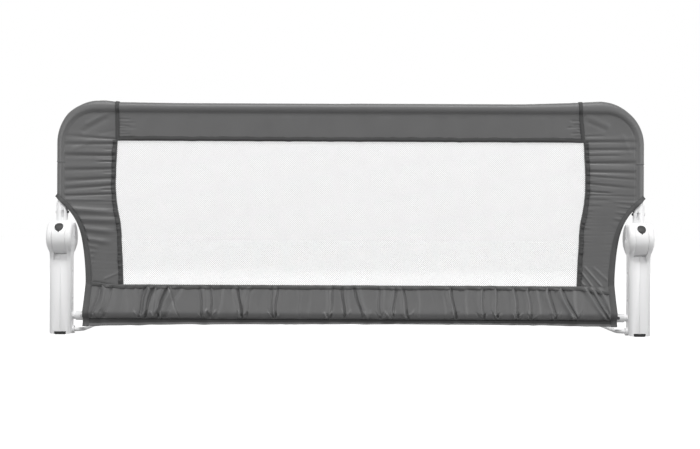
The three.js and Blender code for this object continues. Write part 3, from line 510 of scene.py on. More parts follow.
# Side panels: gathers run from the tube's sleeve to the window: height of the shaded line at the
# sleeve, height at the window, width, depth, and the share of the way at which the gather starts
GATHERS = {
    "left": [
        (0.3475, 0.3415, 0.0022, 0.0013, 0.10), (0.3330, 0.3340, 0.0025, 0.0016, 0.0),
        (0.3230, 0.3230, 0.0012, 0.0006, 0.75), (0.3140, 0.3140, 0.0029, 0.0021, 0.0),
        (0.3020, 0.3020, 0.0014, 0.0010, 0.60), (0.2880, 0.2905, 0.0028, 0.0018, 0.0),
        (0.2830, 0.2830, 0.0012, 0.0007, 0.75), (0.2690, 0.2745, 0.0028, 0.0019, 0.0),
        (0.2550, 0.2620, 0.0026, 0.0020, 0.0), (0.2510, 0.2535, 0.0013, 0.0011, 0.70),
        (0.2425, 0.2460, 0.0019, 0.0018, 0.0),
    ],
    "right": [
        (0.3520, 0.3500, 0.0016, 0.0007, 0.60), (0.3410, 0.3410, 0.0022, 0.0015, 0.0),
        (0.3270, 0.3270, 0.0023, 0.0016, 0.0), (0.3170, 0.3160, 0.0017, 0.0010, 0.25),
        (0.3040, 0.3040, 0.0026, 0.0020, 0.0), (0.2870, 0.2890, 0.0025, 0.0017, 0.0),
        (0.2745, 0.2810, 0.0018, 0.0011, 0.0), (0.2590, 0.2680, 0.0021, 0.0014, 0.15),
        (0.2480, 0.2540, 0.0016, 0.0013, 0.45), (0.2450, 0.2475, 0.0014, 0.0008, 0.05),
        (0.2375, 0.2390, 0.0015, 0.0009, 0.50), (0.2260, 0.2290, 0.0014, 0.0008, 0.65),
        (0.2180, 0.2185, 0.0012, 0.0005, 0.80), (0.2060, 0.2070, 0.0012, 0.0006, 0.80),
        (0.1870, 0.1875, 0.0014, 0.0007, 0.82),
    ],
}
# Below the flare soft swells start at the binding: height, width, swell, length and slope
LOWER_SWELLS = {
    "left": [
        (0.2345, 0.0024, 0.0012, 0.085, 0.00), (0.2180, 0.0052, 0.0032, 0.080, 0.07),
        (0.2005, 0.0052, 0.0033, 0.072, 0.03), (0.1845, 0.0052, 0.0031, 0.058, 0.10),
        (0.1665, 0.0046, 0.0026, 0.044, 0.14), (0.1550, 0.0028, 0.0012, 0.022, 0.14),
        (0.1455, 0.0028, 0.0010, 0.018, 0.12), (0.1360, 0.0030, 0.0009, 0.014, 0.10),
        (0.1260, 0.0026, 0.0005, 0.012, 0.10),
    ],
    "right": [
        (0.2327, 0.0020, 0.0011, 0.040, -0.05), (0.2240, 0.0020, 0.0010, 0.028, -0.10),
        (0.2140, 0.0022, 0.0011, 0.020, -0.12), (0.2040, 0.0024, 0.0010, 0.018, -0.10),
        (0.1930, 0.0024, 0.0006, 0.016, -0.10),
    ],
}
# Straight soft creases, as [distance from the middle, height] of both ends, width and height
LOOSE_CREASES = {
    "left": [
        ((0.402, 0.108), (0.430, 0.096), 0.0022, 0.0008), ((0.470, 0.352), (0.425, 0.377), 0.0050, -0.0011),
        ((0.462, 0.366), (0.420, 0.388), 0.0040, 0.0010), ((0.486, 0.322), (0.452, 0.336), 0.0040, 0.0006),
        ((0.440, 0.350), (0.412, 0.356), 0.0030, -0.0005), ((0.412, 0.084), (0.452, 0.091), 0.0030, -0.0012),
    ],
    "right": [
        ((0.399, 0.118), (0.423, 0.086), 0.0018, 0.0017), ((0.408, 0.122), (0.440, 0.086), 0.0020, 0.0013),
        ((0.398, 0.100), (0.410, 0.088), 0.0016, 0.0015), ((0.424, 0.120), (0.456, 0.092), 0.0026, 0.0008),
        ((0.410, 0.384), (0.452, 0.366), 0.0050, 0.0009), ((0.412, 0.374), (0.446, 0.360), 0.0036, -0.0007),
        ((0.474, 0.352), (0.488, 0.318), 0.0040, 0.0006),
    ],
}
# Each gather is a valley with a ridge above it; True stands for a long one, which starts at the sleeve
GATHER_SEEDS = {"left": 71, "right": 83}
LONG_GATHER = 0.2
GATHER_SOFTS = {True: 0.9, False: 0.35}
GATHER_STARTS = {True: 0.6, False: 0.3}
GATHER_SPREAD = 0.5
SLEEVE_EDGE = 0.006
RIDGE_WIDTH_SHARE = 1.6
RIDGE_SHARES = (0.35, 0.75)
SLOPE_PLACE = 0.7
SWELL_START = 0.4
SWELL_END_SOFT = 0.6
EDGE_SLOPE = 0.0028
# Puckers beside the window's hem: ranges of width, depth and reach. Those beside the binding have
# depths of their own. Both are calmer below a height: [height, share].
PUCKER_SEEDS = {"left": 31, "right": 47}
HEM_PUCKERS = [(0.0011, 0.0021), (0.0002, 0.0009), (0.006, 0.020)]
HEM_CALM = (0.16, 0.4)
PUCKER_STEPS = (0.0022, 0.0062)
TAPE_PUCKERS = (0.0001, 0.0006)
TAPE_CALM = (0.12, 0.5)
TAPE_PUCKER_REACH = 0.6
TAPE_PUCKER_RISE = 0.002


def gather_heights(side, x, z):
    """How far a side panel's front stands proud of its plain shape; x counts from the rail's middle."""
    generator = random.Random(GATHER_SEEDS[side])
    height = np.zeros_like(x)
    for outer_z, inner_z, width, depth, from_share in GATHERS[side]:
        outer = np.array((UNIT_X - SLEEVE_EDGE, outer_z))
        inner = np.array((float(edge_x(NET_EDGE, inner_z)), inner_z))
        start = outer + from_share * (inner - outer)
        long = from_share < LONG_GATHER
        fades = (GATHER_SOFTS[long], GATHER_STARTS[long], GATHER_SPREAD)
        valley = z + SLOPE_PLACE * width
        height -= crease(x, valley, start, inner, width, depth, *fades)
        ridge = z - SLOPE_PLACE * RIDGE_WIDTH_SHARE * width
        rise = generator.uniform(*RIDGE_SHARES) * depth
        height += crease(x, ridge, start, inner, RIDGE_WIDTH_SHARE * width, rise, *fades)
    for at, width, swell, length, slope in LOWER_SWELLS[side]:
        start = (float(edge_x(FREE_EDGE, at)) - SWELL_START * BINDING_WIDTH, at)
        end = (start[0] - length, at - slope * length)
        height += crease(x, z, start, end, width, swell, end_soft=SWELL_END_SOFT)
    for start, end, width, depth in LOOSE_CREASES[side]:
        height += crease(x, z, start, end, width, depth)
    height += hem_puckers(side, x, z)
    under_tape = smooth_step((edge_x(FREE_EDGE, z) - tape_width(z) - x) / EDGE_SLOPE)
    return height * np.where(z < FLARE_Z, under_tape, 1)


def tape_width(z):
    """Width of the binding, which narrows towards the flare."""
    share = smooth_step((z - NET_BOTTOM) / (FLARE_Z - NET_BOTTOM))
    return BINDING_WIDTH + share * (BINDING_WIDTH_AT_FLARE - BINDING_WIDTH)


def calm_share(height, calm_below, share):
    return 1.0 if height > calm_below else share


def hem_puckers(side, x, z):
    """Fine puckers beside the window's hem and the binding, which fade within a few millimetres."""
    generator = random.Random(PUCKER_SEEDS[side])
    height = np.zeros_like(x)
    inner = edge_x(NET_EDGE, z) + HEM_WIDTH
    outer = edge_x(FREE_EDGE, z) - BINDING_WIDTH
    at = NET_BOTTOM
    while at < NET_TOP:
        width, depth, reach = draw(generator, HEM_PUCKERS)
        depth *= calm_share(at, *HEM_CALM)
        height -= depth * hump(z - at, width) * np.exp(-np.abs(x - inner) / reach)
        if at < FLARE_Z:
            depth = generator.uniform(*TAPE_PUCKERS) * calm_share(at, *TAPE_CALM)
            near = np.exp(-np.abs(x - outer) / (TAPE_PUCKER_REACH * reach))
            height -= depth * hump(z - at - TAPE_PUCKER_RISE, width) * near
        at += generator.uniform(*PUCKER_STEPS)
    return height


# The cover's section at one station: out from the window over the tube and back again. The share runs
# from 0 at the window to 1 beside the tube and 2 over its middle.
OVER_TUBE = 2.0
FRONT_STEPS = 60
BAND_FRONT_STEPS = 30
NEAR_STEPS = 16
ROUND_STEPS = 15
TURN = np.linspace(0, math.pi, ROUND_STEPS)[1:-1]
NEAR_SHARE = 1.4
ROUND_POWER = 6
TOP_DIP_SHARE = 0.55
DIP_SHARES = {"left": 0.84, "right": 0.74}
JOINT_LINE_DEPTH = 0.0007
JOINT_LINE_LIP = 0.0009
JOINT_LINE_WIDTH = 0.0011
RUFFLE_END = 0.88
SIDE_RUFFLE_END = 1.48
RUFFLE_FADE = 0.14
HEM_FADE = 0.04
# How far the cloth stands off the tube's outer side, as [distance of the tube from the middle, gap]
LIFTS = {
    "left": [
        (0.300, 0.0), (0.403, 0.0012), (0.429, 0.0041), (0.450, 0.0034), (0.469, 0.0023), (0.486, 0.0026),
        (0.499, 0.0008), (0.504, 0.0),
    ],
    "right": [
        (0.300, 0.0004), (0.384, 0.0030), (0.437, 0.0058), (0.458, 0.0034), (0.478, 0.0010), (0.504, 0.0),
    ],
}


def front_shares(front_steps):
    return np.concatenate([np.linspace(0, 1, front_steps), np.linspace(1, OVER_TUBE, NEAR_STEPS + 1)[1:]])


SIDE_FRONT = front_shares(FRONT_STEPS)
BAND_FRONT = front_shares(BAND_FRONT_STEPS)


def all_round(front):
    """Shares of a whole section: front layer, turn over the tube and back layer."""
    return np.concatenate([front, np.full(len(TURN), OVER_TUBE), front[::-1]])


def lift_at(side, place):
    table = np.array(LIFTS[side])
    return float(np.interp(place, table[:, 0], table[:, 1]))


def sleeve_section(edge, centre, outward, front, lift=0.0, dip_share=TOP_DIP_SHARE):
    """Points of one station: lift is the gap over the tube's outer side, and dip_share tells how
    deep the cloth lies where it leaves the tube."""
    radius = POCKET
    above = (centre[1] - TUBE_JOINT_Z) / JOINT_LINE_WIDTH
    if outward[1] == 0:
        radius += JOINT_LINE_LIP * math.exp(-((above - 1) ** 2)) - JOINT_LINE_DEPTH * math.exp(-(above**2))
    edge, centre, outward = np.array(edge), np.array(centre), np.array(outward)
    run = centre - edge
    length = np.hypot(*run)
    square_share = float(np.dot(run, outward)) / length
    near = NEAR_SHARE * POCKET / square_share
    distance = np.where(front < 1, length - front * (length - near), near * (OVER_TUBE - front))
    straight = SIDE_DEPTH + (dip_share * POCKET - SIDE_DEPTH) * (1 - distance / length)
    round_part = np.sqrt(np.maximum(radius**2 - (square_share * distance) ** 2, 0))
    depth = (straight**ROUND_POWER + round_part**ROUND_POWER) ** (1 / ROUND_POWER)
    flat = centre[None, :] - run[None, :] * (distance / length)[:, None]
    arc = centre[None, :] + outward[None, :] * ((radius + lift) * np.sin(TURN))[:, None]
    return np.concatenate([
        at_depth(flat, depth), at_depth(arc, radius * np.cos(TURN)), at_depth(flat[::-1], -depth[::-1]),
    ])


def ruffle_share(front, end=RUFFLE_END):
    """Where the cloth may ruffle: not on the window's edge and not over the tube."""
    return (1 - smooth_step((front - end) / RUFFLE_FADE)) * smooth_step(front / HEM_FADE)


def ruffle(points, heights, front_steps):
    """Moves the front layer towards the viewer by heights, and the back layer the other way."""
    points = points.copy()
    points[:, :front_steps, 1] -= heights[:, :front_steps]
    points[:, -front_steps:, 1] += heights[:, -front_steps:]
    return points


# Side panels above the flare: one sleeve from the slanted seam, round the corner, to the flare
SIDE_STEPS = FRONT_STEPS + NEAR_STEPS
SEAM_STATIONS = 8
SEAM_STATION_PITCH = 0.0002
CORNER_STATIONS = 44
CORNER_DROP = 0.004
UPRIGHT_STATIONS = 100
GROOVE_PLACES = {"left": 0.0042, "right": 0.0068}
GROOVE_DEPTH = 0.0007
GROOVE_WIDTH = 0.0014


def side_stations():
    """Stations of a right-hand side panel, each as edge point, tube's centre and way outwards."""
    bend = np.array([UNIT_X - CORNER_RADIUS, TOP_TUBE_Z - CORNER_RADIUS])
    stations = []
    for step in range(SEAM_STATIONS):
        share = step / SEAM_STATIONS
        x = SEAM_X - SEAM_LEAN * (1 - share) + share * (bend[0] - SEAM_X)
        stations.append(((SEAM_X + SEAM_STATION_PITCH * step, NET_TOP), (x, TOP_TUBE_Z), (0, 1)))
    for step in range(CORNER_STATIONS + 1):
        share = step / CORNER_STATIONS
        angle = math.pi / 2 * (1 - share)
        outward = (math.cos(angle), math.sin(angle))
        centre = bend + CORNER_RADIUS * np.array(outward)
        z = NET_TOP - share * (NET_TOP - bend[1]) - CORNER_DROP * smooth_step(share)
        stations.append(((float(edge_x(NET_EDGE, z)), z), tuple(centre), outward))
    low = stations[-1][0][1]
    tube_heights = np.linspace(bend[1], FLARE_Z, UPRIGHT_STATIONS)[1:]
    edge_heights = np.linspace(low, FLARE_Z, UPRIGHT_STATIONS)[1:]
    for z_tube, z_edge in zip(tube_heights, edge_heights):
        stations.append(((float(edge_x(NET_EDGE, z_edge)), z_edge), (UNIT_X, z_tube), (1, 0)))
    return stations


def tube_depth(away):
    """Depth of the pocket round the tube at a distance from the tube's line in the front view."""
    return np.sqrt(np.maximum(POCKET**2 - away**2, 0))


def sleeve_groove(side, away):
    """Shallow groove where the cloth leaves the tube."""
    return GROOVE_DEPTH * hump(away - GROOVE_PLACES[side], GROOVE_WIDTH)


def upper_side_points(side):
    rows = []
    stations = side_stations()
    for edge, centre, outward in stations:
        lift = lift_at(side, centre[0])
        dip_share = TOP_DIP_SHARE + outward[0] * (DIP_SHARES[side] - TOP_DIP_SHARE)
        rows.append(sleeve_section(edge, centre, outward, SIDE_FRONT, lift, dip_share))
    points = np.array(rows)
    centres = np.array([centre for edge, centre, outward in stations])
    outwards = np.array([outward for edge, centre, outward in stations])
    away = np.sum((centres[:, None, :] - points[..., ::2]) * outwards[:, None, :], axis=2)
    heights = gather_heights(side, points[..., 0], points[..., 2])
    share = ruffle_share(all_round(SIDE_FRONT), SIDE_RUFFLE_END)
    heights = heights * share[None, :] - outwards[:, :1] * sleeve_groove(side, away)
    points = ruffle(points, heights, SIDE_STEPS)
    tube = tube_depth(away)[:, :SIDE_STEPS]
    points[:, :SIDE_STEPS, 1] = np.minimum(points[:, :SIDE_STEPS, 1], -tube)
    points[:, -SIDE_STEPS:, 1] = np.maximum(points[:, -SIDE_STEPS:, 1], tube[:, ::-1])
    return points


# Below the flare each side panel is two layers, which hang from the sleeve down behind the bottom band
ANGLE_SLACK = 0.001
SIDE_TUCK = 0.010
LOWER_ROWS = 150
OPEN_TOP = 0.2205
OPEN_FOOT = 0.180
SOCKET_SWELL = 0.27
SOCKET_RISE = 0.011
SLEEVE_STRIP = 0.0090
SLEEVE_REACH = UNIT_X - SLEEVE_STRIP
SLEEVE_FADE = 0.0040
HEM_RISE = 0.0034
LAYER_DEPTH = 0.0007
KEPT_POINTS = 4


def flare_section(side):
    quarter = TURN[TURN < math.pi / 2 + ANGLE_SLACK]
    edge = (float(edge_x(NET_EDGE, FLARE_Z)), FLARE_Z)
    section = sleeve_section(edge, (UNIT_X, FLARE_Z), (1, 0), SIDE_FRONT, 0.0, DIP_SHARES[side])
    section = section[: SIDE_STEPS + len(quarter)]
    away = UNIT_X - section[:, 0]
    section[:, 1] = np.minimum(section[:, 1] + sleeve_groove(side, away), -tube_depth(away))
    return section


FLARE_SECTIONS = {side: flare_section(side) for side in SIDES}


def open_share(z):
    """How far the cloth still stands open round the tube, below the flare."""
    return smooth_step((z - OPEN_FOOT) / (OPEN_TOP - OPEN_FOOT))


def side_depth(side, x, z):
    """Distance of a side panel's front layer from the tube's plane, below the flare."""
    section = FLARE_SECTIONS[side]
    sleeve = np.interp(x, section[:, 0], -section[:, 1])
    socket = POCKET * (1 + SOCKET_SWELL * smooth_step((FLARE_Z - z) / SOCKET_RISE))
    tube = np.maximum(sleeve, np.sqrt(np.maximum(socket**2 - (UNIT_X - x) ** 2, 0)))
    return SIDE_DEPTH + open_share(z) * (np.maximum(tube, SIDE_DEPTH) - SIDE_DEPTH)


def lower_side_points(side, facing):
    """The front layer, where facing is 1, or the back layer, where it is -1."""
    section = FLARE_SECTIONS[side]
    start, end = section[0, 0], section[-1, 0]
    shares = (section[:, 0] - start) / (end - start)
    rows = []
    for z in np.linspace(FLARE_Z, NET_BOTTOM - SIDE_TUCK, LOWER_ROWS):
        near = float(edge_x(NET_EDGE, z))
        far = min(float(edge_x(FREE_EDGE, z)), end)
        x = near + shares * (far - near)
        rows.append(np.column_stack([x, -side_depth(side, x, z), np.full_like(x, z)]))
    points = np.array(rows)
    points[0] = section
    free = 1 - smooth_step((points[..., 0] - SLEEVE_REACH) / SLEEVE_FADE)
    share = free * smooth_step((points[..., 0] - points[:, :1, 0]) / HEM_RISE)
    share[0] = ruffle_share(all_round(SIDE_FRONT)[: len(shares)], SIDE_RUFFLE_END)
    ruffled = gather_heights(side, points[..., 0], points[..., 2]) * share
    least = np.maximum(open_share(points[..., 2]) * tube_depth(UNIT_X - points[..., 0]), LAYER_DEPTH)
    points[..., 1] = np.minimum(points[..., 1] - ruffled, -least)
    points[0, -KEPT_POINTS:, 1] = section[-KEPT_POINTS:, 1]
    points[..., 1] *= facing
    return points


def make_side_cover(side):
    sign = SIDES[side]
    parts = [
        grid_object("sleeve", placed(mirrored(upper_side_points(side), sign)), COVER),
        grid_object("front_layer", placed(mirrored(lower_side_points(side, 1), sign)), COVER),
        grid_object("back_layer", placed(mirrored(lower_side_points(side, -1), sign)), COVER),
    ]
    piece = weld_object(join_as(f"{side}_side_cover", parts))
    hinge_blend(piece)
    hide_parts(f"{side}_upper_side_panel", f"{side}_lower_side_panel")


# Top band, between the slanted seams: [upper end, lower end] of each seam
SEAMS = {"left": (-0.4074, -0.4074), "right": (0.4009, 0.4069)}
BAND_STATIONS = 320
BAND_STEPS = BAND_FRONT_STEPS + NEAR_STEPS
TOP_SEED = 12
TOP_BACK_SEED = 13
# Ranges of place, width, depth and lean; of place, width, depth and reach; and of a seam crease's start
# height, end place, end height and depth
TOP_WAVE_COUNT = 46
TOP_WAVES = [(-0.40, 0.40), (0.003, 0.014), (-0.00035, 0.00045), (-0.35, 0.35)]
TOP_PUCKER_COUNT = 90
TOP_PUCKERS = [(-0.40, 0.40), (0.0016, 0.0040), (-0.0004, 0.0003), (0.004, 0.012)]
SEAM_CREASE_COUNT = 9
SEAM_CREASES = [(-0.001, 0.001), (0.375, 0.396), (-0.003, 0.001), (-0.0015, -0.0007)]
SEAM_CREASE_START = 0.006
SEAM_CREASE_PITCH = 0.0052
SEAM_CREASE_X = 0.408
SEAM_CREASE_WIDTH = 0.0013


def top_waves(x, z, seed):
    """Shallow waves and creases of the top band."""
    generator = random.Random(seed)
    height = np.zeros_like(x)
    add_waves(height, generator, x, z - NET_TOP, TOP_WAVE_COUNT, TOP_WAVES)
    for _ in range(TOP_PUCKER_COUNT):
        at, width, depth, reach = draw(generator, TOP_PUCKERS)
        height += depth * hump(x - at, width) * np.exp((NET_TOP - z) / reach)
    for sign in SIDES.values():
        for number in range(SEAM_CREASE_COUNT):
            place = NET_TOP + SEAM_CREASE_START + number * SEAM_CREASE_PITCH
            start_rise, end_x, end_rise, depth = draw(generator, SEAM_CREASES)
            start = (sign * SEAM_CREASE_X, place + start_rise)
            end = (sign * end_x, place + end_rise)
            height += crease(x, z, start, end, SEAM_CREASE_WIDTH, depth)
    return height


def top_band_points():
    rows = []
    for share in np.linspace(0, 1, BAND_STATIONS):
        upper, lower = (left + share * (right - left) for left, right in zip(SEAMS["left"], SEAMS["right"]))
        lift = lift_at("left" if upper < 0 else "right", abs(upper))
        rows.append(sleeve_section((lower, NET_TOP), (upper, TOP_TUBE_Z), (0, 1), BAND_FRONT, lift))
    points = np.array(rows)
    heights = top_waves(points[..., 0], points[..., 2], TOP_SEED)
    behind = top_waves(-points[..., 0], points[..., 2], TOP_BACK_SEED)
    heights[:, -BAND_STEPS:] = behind[:, -BAND_STEPS:]
    return ruffle(points, heights * ruffle_share(all_round(BAND_FRONT))[None, :], BAND_STEPS)


def make_top_band():
    piece = grid_object("top_band_cloth", placed(top_band_points()), COVER)
    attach(piece, "upper_frame")
    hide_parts("top_band")


# Bottom band: round the lower tube, with its seam allowance hanging below as a flange. The section's
# places are [y from the tube's plane, height].
BAND_COLUMNS = 900
BAND_TOP_DEPTH = 0.0030
BAND_LEAST_SHARE = 0.6
BAND_HOLLOW = 1.15
BAND_BULGE = (-0.0142, 0.0420)
BAND_UNDERCUT = [(-0.0147, 0.0384), (-0.0136, 0.0344), (-0.0108, 0.0304), (-0.0080, 0.0281)]
BAND_STRAIGHT_STEPS = 36
BAND_TURN_STEPS = 26
BAND_ROUND = TUBE_RADIUS + 0.0013
BAND_CLEAR = TUBE_RADIUS + 0.0005
BAND_ROUND_STEPS = 15
BAND_ROUND_FROM = -0.42
BAND_ROUND_PAST = 0.16
BAND_END_GAP = 0.0006
BAND_BACK_DIP = 0.0006
FLANGE_STEPS = 8
FLANGE_TOP = (-0.0071, 0.0266)
FLANGE_FOOT = (-0.0096, FLANGE_BOTTOM)
FLANGE_THICK = 0.0014
FLANGE_KICK = 2.0
FLANGE_ARCH = 0.0038
FLANGE_ARCH_POWER = 3
FLANGE_TILT = 0.0026
FLANGE_TILT_X = 0.40
FLANGE_WAVE_RISE = 0.009
FLANGE_SEED = 8
FLANGE_WAVE_COUNT = 60
# Ranges of place, width, push and drop
FLANGE_WAVES = [(-0.46, 0.46), (0.004, 0.016), (-0.0006, 0.0006), (-0.0004, 0.0005)]
# Heights between which the crease under the bottom band's pocket gets its painted shadow
PAINTED_CREASE_HEIGHTS = (0.0262, 0.0281)

# Bottom band's folds from its upper hem to the foot of the pocket, as shares of half its length:
# share at the top, share at the foot, width, height
BAND_FOLDS = [
    (-0.937, -0.966, 0.0030, -0.0016), (-0.915, -0.942, 0.0030, 0.0018), (-0.895, -0.919, 0.0024, -0.0012),
    (-0.770, -0.790, 0.0032, -0.0018), (-0.755, -0.775, 0.0022, 0.0020), (-0.740, -0.770, 0.0024, -0.0018),
    (-0.707, -0.735, 0.0034, 0.0016), (-0.692, -0.721, 0.0022, -0.0020), (-0.672, -0.713, 0.0026, 0.0016),
    (-0.679, -0.636, 0.0014, -0.0010), (-0.640, -0.700, 0.0040, -0.0012), (-0.566, -0.551, 0.0022, -0.0016),
    (-0.545, -0.540, 0.0030, 0.0012), (-0.523, -0.518, 0.0020, -0.0016), (-0.480, -0.500, 0.0040, -0.0009),
    (-0.428, -0.412, 0.0028, 0.0012), (-0.419, -0.403, 0.0020, -0.0024), (-0.385, -0.400, 0.0026, 0.0014),
    (-0.370, -0.390, 0.0020, -0.0010), (-0.297, -0.290, 0.0020, -0.0012), (-0.284, -0.284, 0.0018, 0.0012),
    (-0.272, -0.279, 0.0018, -0.0014), (-0.190, -0.190, 0.0034, -0.0007), (-0.140, -0.150, 0.0030, 0.0006),
    (-0.076, -0.086, 0.0026, 0.0012), (-0.061, -0.073, 0.0018, -0.0013), (-0.028, -0.020, 0.0022, -0.0020),
    (-0.010, -0.006, 0.0030, 0.0010), (0.017, 0.050, 0.0022, -0.0020), (0.030, 0.064, 0.0028, 0.0012),
    (0.106, 0.111, 0.0024, -0.0012), (0.120, 0.124, 0.0026, 0.0012), (0.160, 0.150, 0.0026, 0.0016),
    (0.172, 0.163, 0.0020, -0.0014), (0.190, 0.206, 0.0026, 0.0014), (0.200, 0.221, 0.0020, -0.0016),
    (0.251, 0.255, 0.0026, 0.0008), (0.345, 0.353, 0.0026, 0.0008), (0.370, 0.385, 0.0028, 0.0018),
    (0.383, 0.396, 0.0018, -0.0018), (0.430, 0.432, 0.0024, 0.0008), (0.489, 0.492, 0.0030, 0.0020),
    (0.500, 0.503, 0.0020, -0.0012), (0.540, 0.543, 0.0026, 0.0014), (0.552, 0.553, 0.0018, -0.0012),
    (0.609, 0.619, 0.0030, 0.0022), (0.622, 0.632, 0.0020, -0.0014), (0.662, 0.671, 0.0030, 0.0018),
    (0.675, 0.682, 0.0018, -0.0012), (0.700, 0.707, 0.0022, 0.0010), (0.734, 0.756, 0.0032, 0.0024),
    (0.750, 0.772, 0.0020, -0.0016), (0.784, 0.835, 0.0032, 0.0024), (0.800, 0.850, 0.0020, -0.0018),
    (0.835, 0.843, 0.0026, 0.0010), (0.885, 0.960, 0.0026, 0.0018), (0.899, 0.972, 0.0018, -0.0009),
    (0.910, 0.980, 0.0020, 0.0017), (0.924, 0.988, 0.0018, -0.0008), (0.938, 0.996, 0.0020, 0.0012),
]
FOLD_GAIN = 1.8
FOLD_CLEARANCE = 0.0004
FOLD_FOOT = 0.0032
FOLD_END_RISE = 0.0020
FOLD_END_SOFT = 0.10
FOLD_SPREAD = 0.5
FOLD_START = 0.9
RIDGE_SPREAD = 1.1
DIP_SPREAD = 0.7
FOLD_BOW = 0.0011
FOLD_BOW_RISE = 0.0085
FOLD_BOW_RUN = 0.029
# Short creases that fan out from the foot of each strong fold: ranges of start height, reach and rise,
# and of height and width
FAN_LEAST = 0.0012
FAN_ENDS = [(0.0005, 0.0025), (0.003, 0.010), (0.008, 0.017)]
FAN_SIZES = [(0.0014, 0.0024), (0.0011, 0.0018)]
FAN_END_SOFT = 0.5
# Waves all along the band: ranges of width, depth and lean; and puckers at its hem and foot: ranges of
# width, depth, reach, lean and step
BAND_SEED = 5
BAND_WAVE_COUNT = 70
BAND_WAVES = [(0.0035, 0.0080), (-0.0008, 0.0008), (-0.25, 0.25)]
BAND_PUCKERS = [(0.0010, 0.0024), (-0.0007, 0.0005), (0.004, 0.014), (-0.3, 0.3), (0.003, 0.009)]
FOOT_PUCKER_REACH = 0.7
FOOT_PUCKER_SHARE = 0.8


def band_heights(x, z, half_length):
    """How far the bottom band's face stands proud of its plain shape."""
    top = NET_BOTTOM - BOTTOM_HEM_WIDTH
    foot = FLANGE_TOP[1] + FOLD_END_RISE
    height = np.zeros_like(x)
    x = x + FOLD_BOW * np.sin(z / FOLD_BOW_RISE + x / FOLD_BOW_RUN)
    for top_share, foot_share, width, depth in BAND_FOLDS:
        start = (top_share * half_length, top)
        end = (foot_share * half_length, foot)
        spread = RIDGE_SPREAD if depth > 0 else DIP_SPREAD
        height += crease(
            x, z, start, end, spread * width, FOLD_GAIN * depth,
            start_level=FOLD_START, start_spread=FOLD_SPREAD, end_soft=FOLD_END_SOFT,
        )
    generator = random.Random(BAND_SEED)
    for top_share, foot_share, width, depth in BAND_FOLDS:
        if abs(depth) < FAN_LEAST:
            continue
        for way in (-1, 1):
            above, reach, rise = draw(generator, FAN_ENDS)
            start = (foot_share * half_length, FLANGE_TOP[1] + above)
            end = (start[0] + way * reach, start[1] + rise)
            sign = generator.choice((-1, 1))
            size, width = draw(generator, FAN_SIZES)
            height += crease(x, z, start, end, width, sign * size, end_soft=FAN_END_SOFT)
    add_waves(height, generator, x, z - foot, BAND_WAVE_COUNT, [(-half_length, half_length), *BAND_WAVES])
    at = -half_length
    while at < half_length:
        width, depth, reach, lean, step = draw(generator, BAND_PUCKERS)
        near_top = np.exp(-np.abs(z - top) / reach)
        near_foot = np.exp(-np.abs(z - foot) / (FOOT_PUCKER_REACH * reach))
        across = hump(x - at - lean * (z - foot), width)
        height += depth * across * (near_top + FOOT_PUCKER_SHARE * near_foot)
        at += step
    return height


def bottom_cloth_depth(x, z):
    """Depth of the bottom band's plain face, from its hem down to the bulge; the same at every x."""
    share = np.maximum(NET_BOTTOM - z, 0) / (NET_BOTTOM - BAND_BULGE[1])
    return BAND_TOP_DEPTH + (-BAND_BULGE[0] - BAND_TOP_DEPTH) * share**BAND_HOLLOW


def band_profile():
    """Section of the bottom band, from its front hem down, round the flange and up the back, with the
    number of its points on the face."""
    heights = np.linspace(NET_BOTTOM, BAND_BULGE[1], BAND_STRAIGHT_STEPS)[:-1]
    straight = [(-bottom_cloth_depth(0, z), z) for z in heights]
    turn = curve_through([BAND_BULGE, *BAND_UNDERCUT, FLANGE_TOP], BAND_TURN_STEPS)
    flange = [
        (FLANGE_TOP[0] + share**FLANGE_KICK * (FLANGE_FOOT[0] - FLANGE_TOP[0]),
         FLANGE_TOP[1] + share * (FLANGE_FOOT[1] - FLANGE_TOP[1]))
        for share in np.linspace(0, 1, FLANGE_STEPS)
    ][1:]
    inner = [(y + FLANGE_THICK, z) for y, z in flange[::-1]]
    under = [
        (BAND_ROUND * math.sin(angle), CROSS_TUBE_Z - BAND_ROUND * math.cos(angle))
        for angle in np.linspace(BAND_ROUND_FROM, math.pi / 2 + BAND_ROUND_PAST, BAND_ROUND_STEPS)
    ]
    back = [(-y, z) for y, z in straight[::-2]]
    return np.array(straight + turn + flange + inner + under + back), len(straight) + len(turn)


def flange_share(z):
    """Share of the way down the flange."""
    return np.maximum(FLANGE_TOP[1] - z, 0) / (FLANGE_TOP[1] - FLANGE_BOTTOM)


def flange_tilt(x, z):
    """How far the flange's foot hangs lower towards the left."""
    return FLANGE_TILT * (x - FLANGE_TILT_X) * flange_share(z)


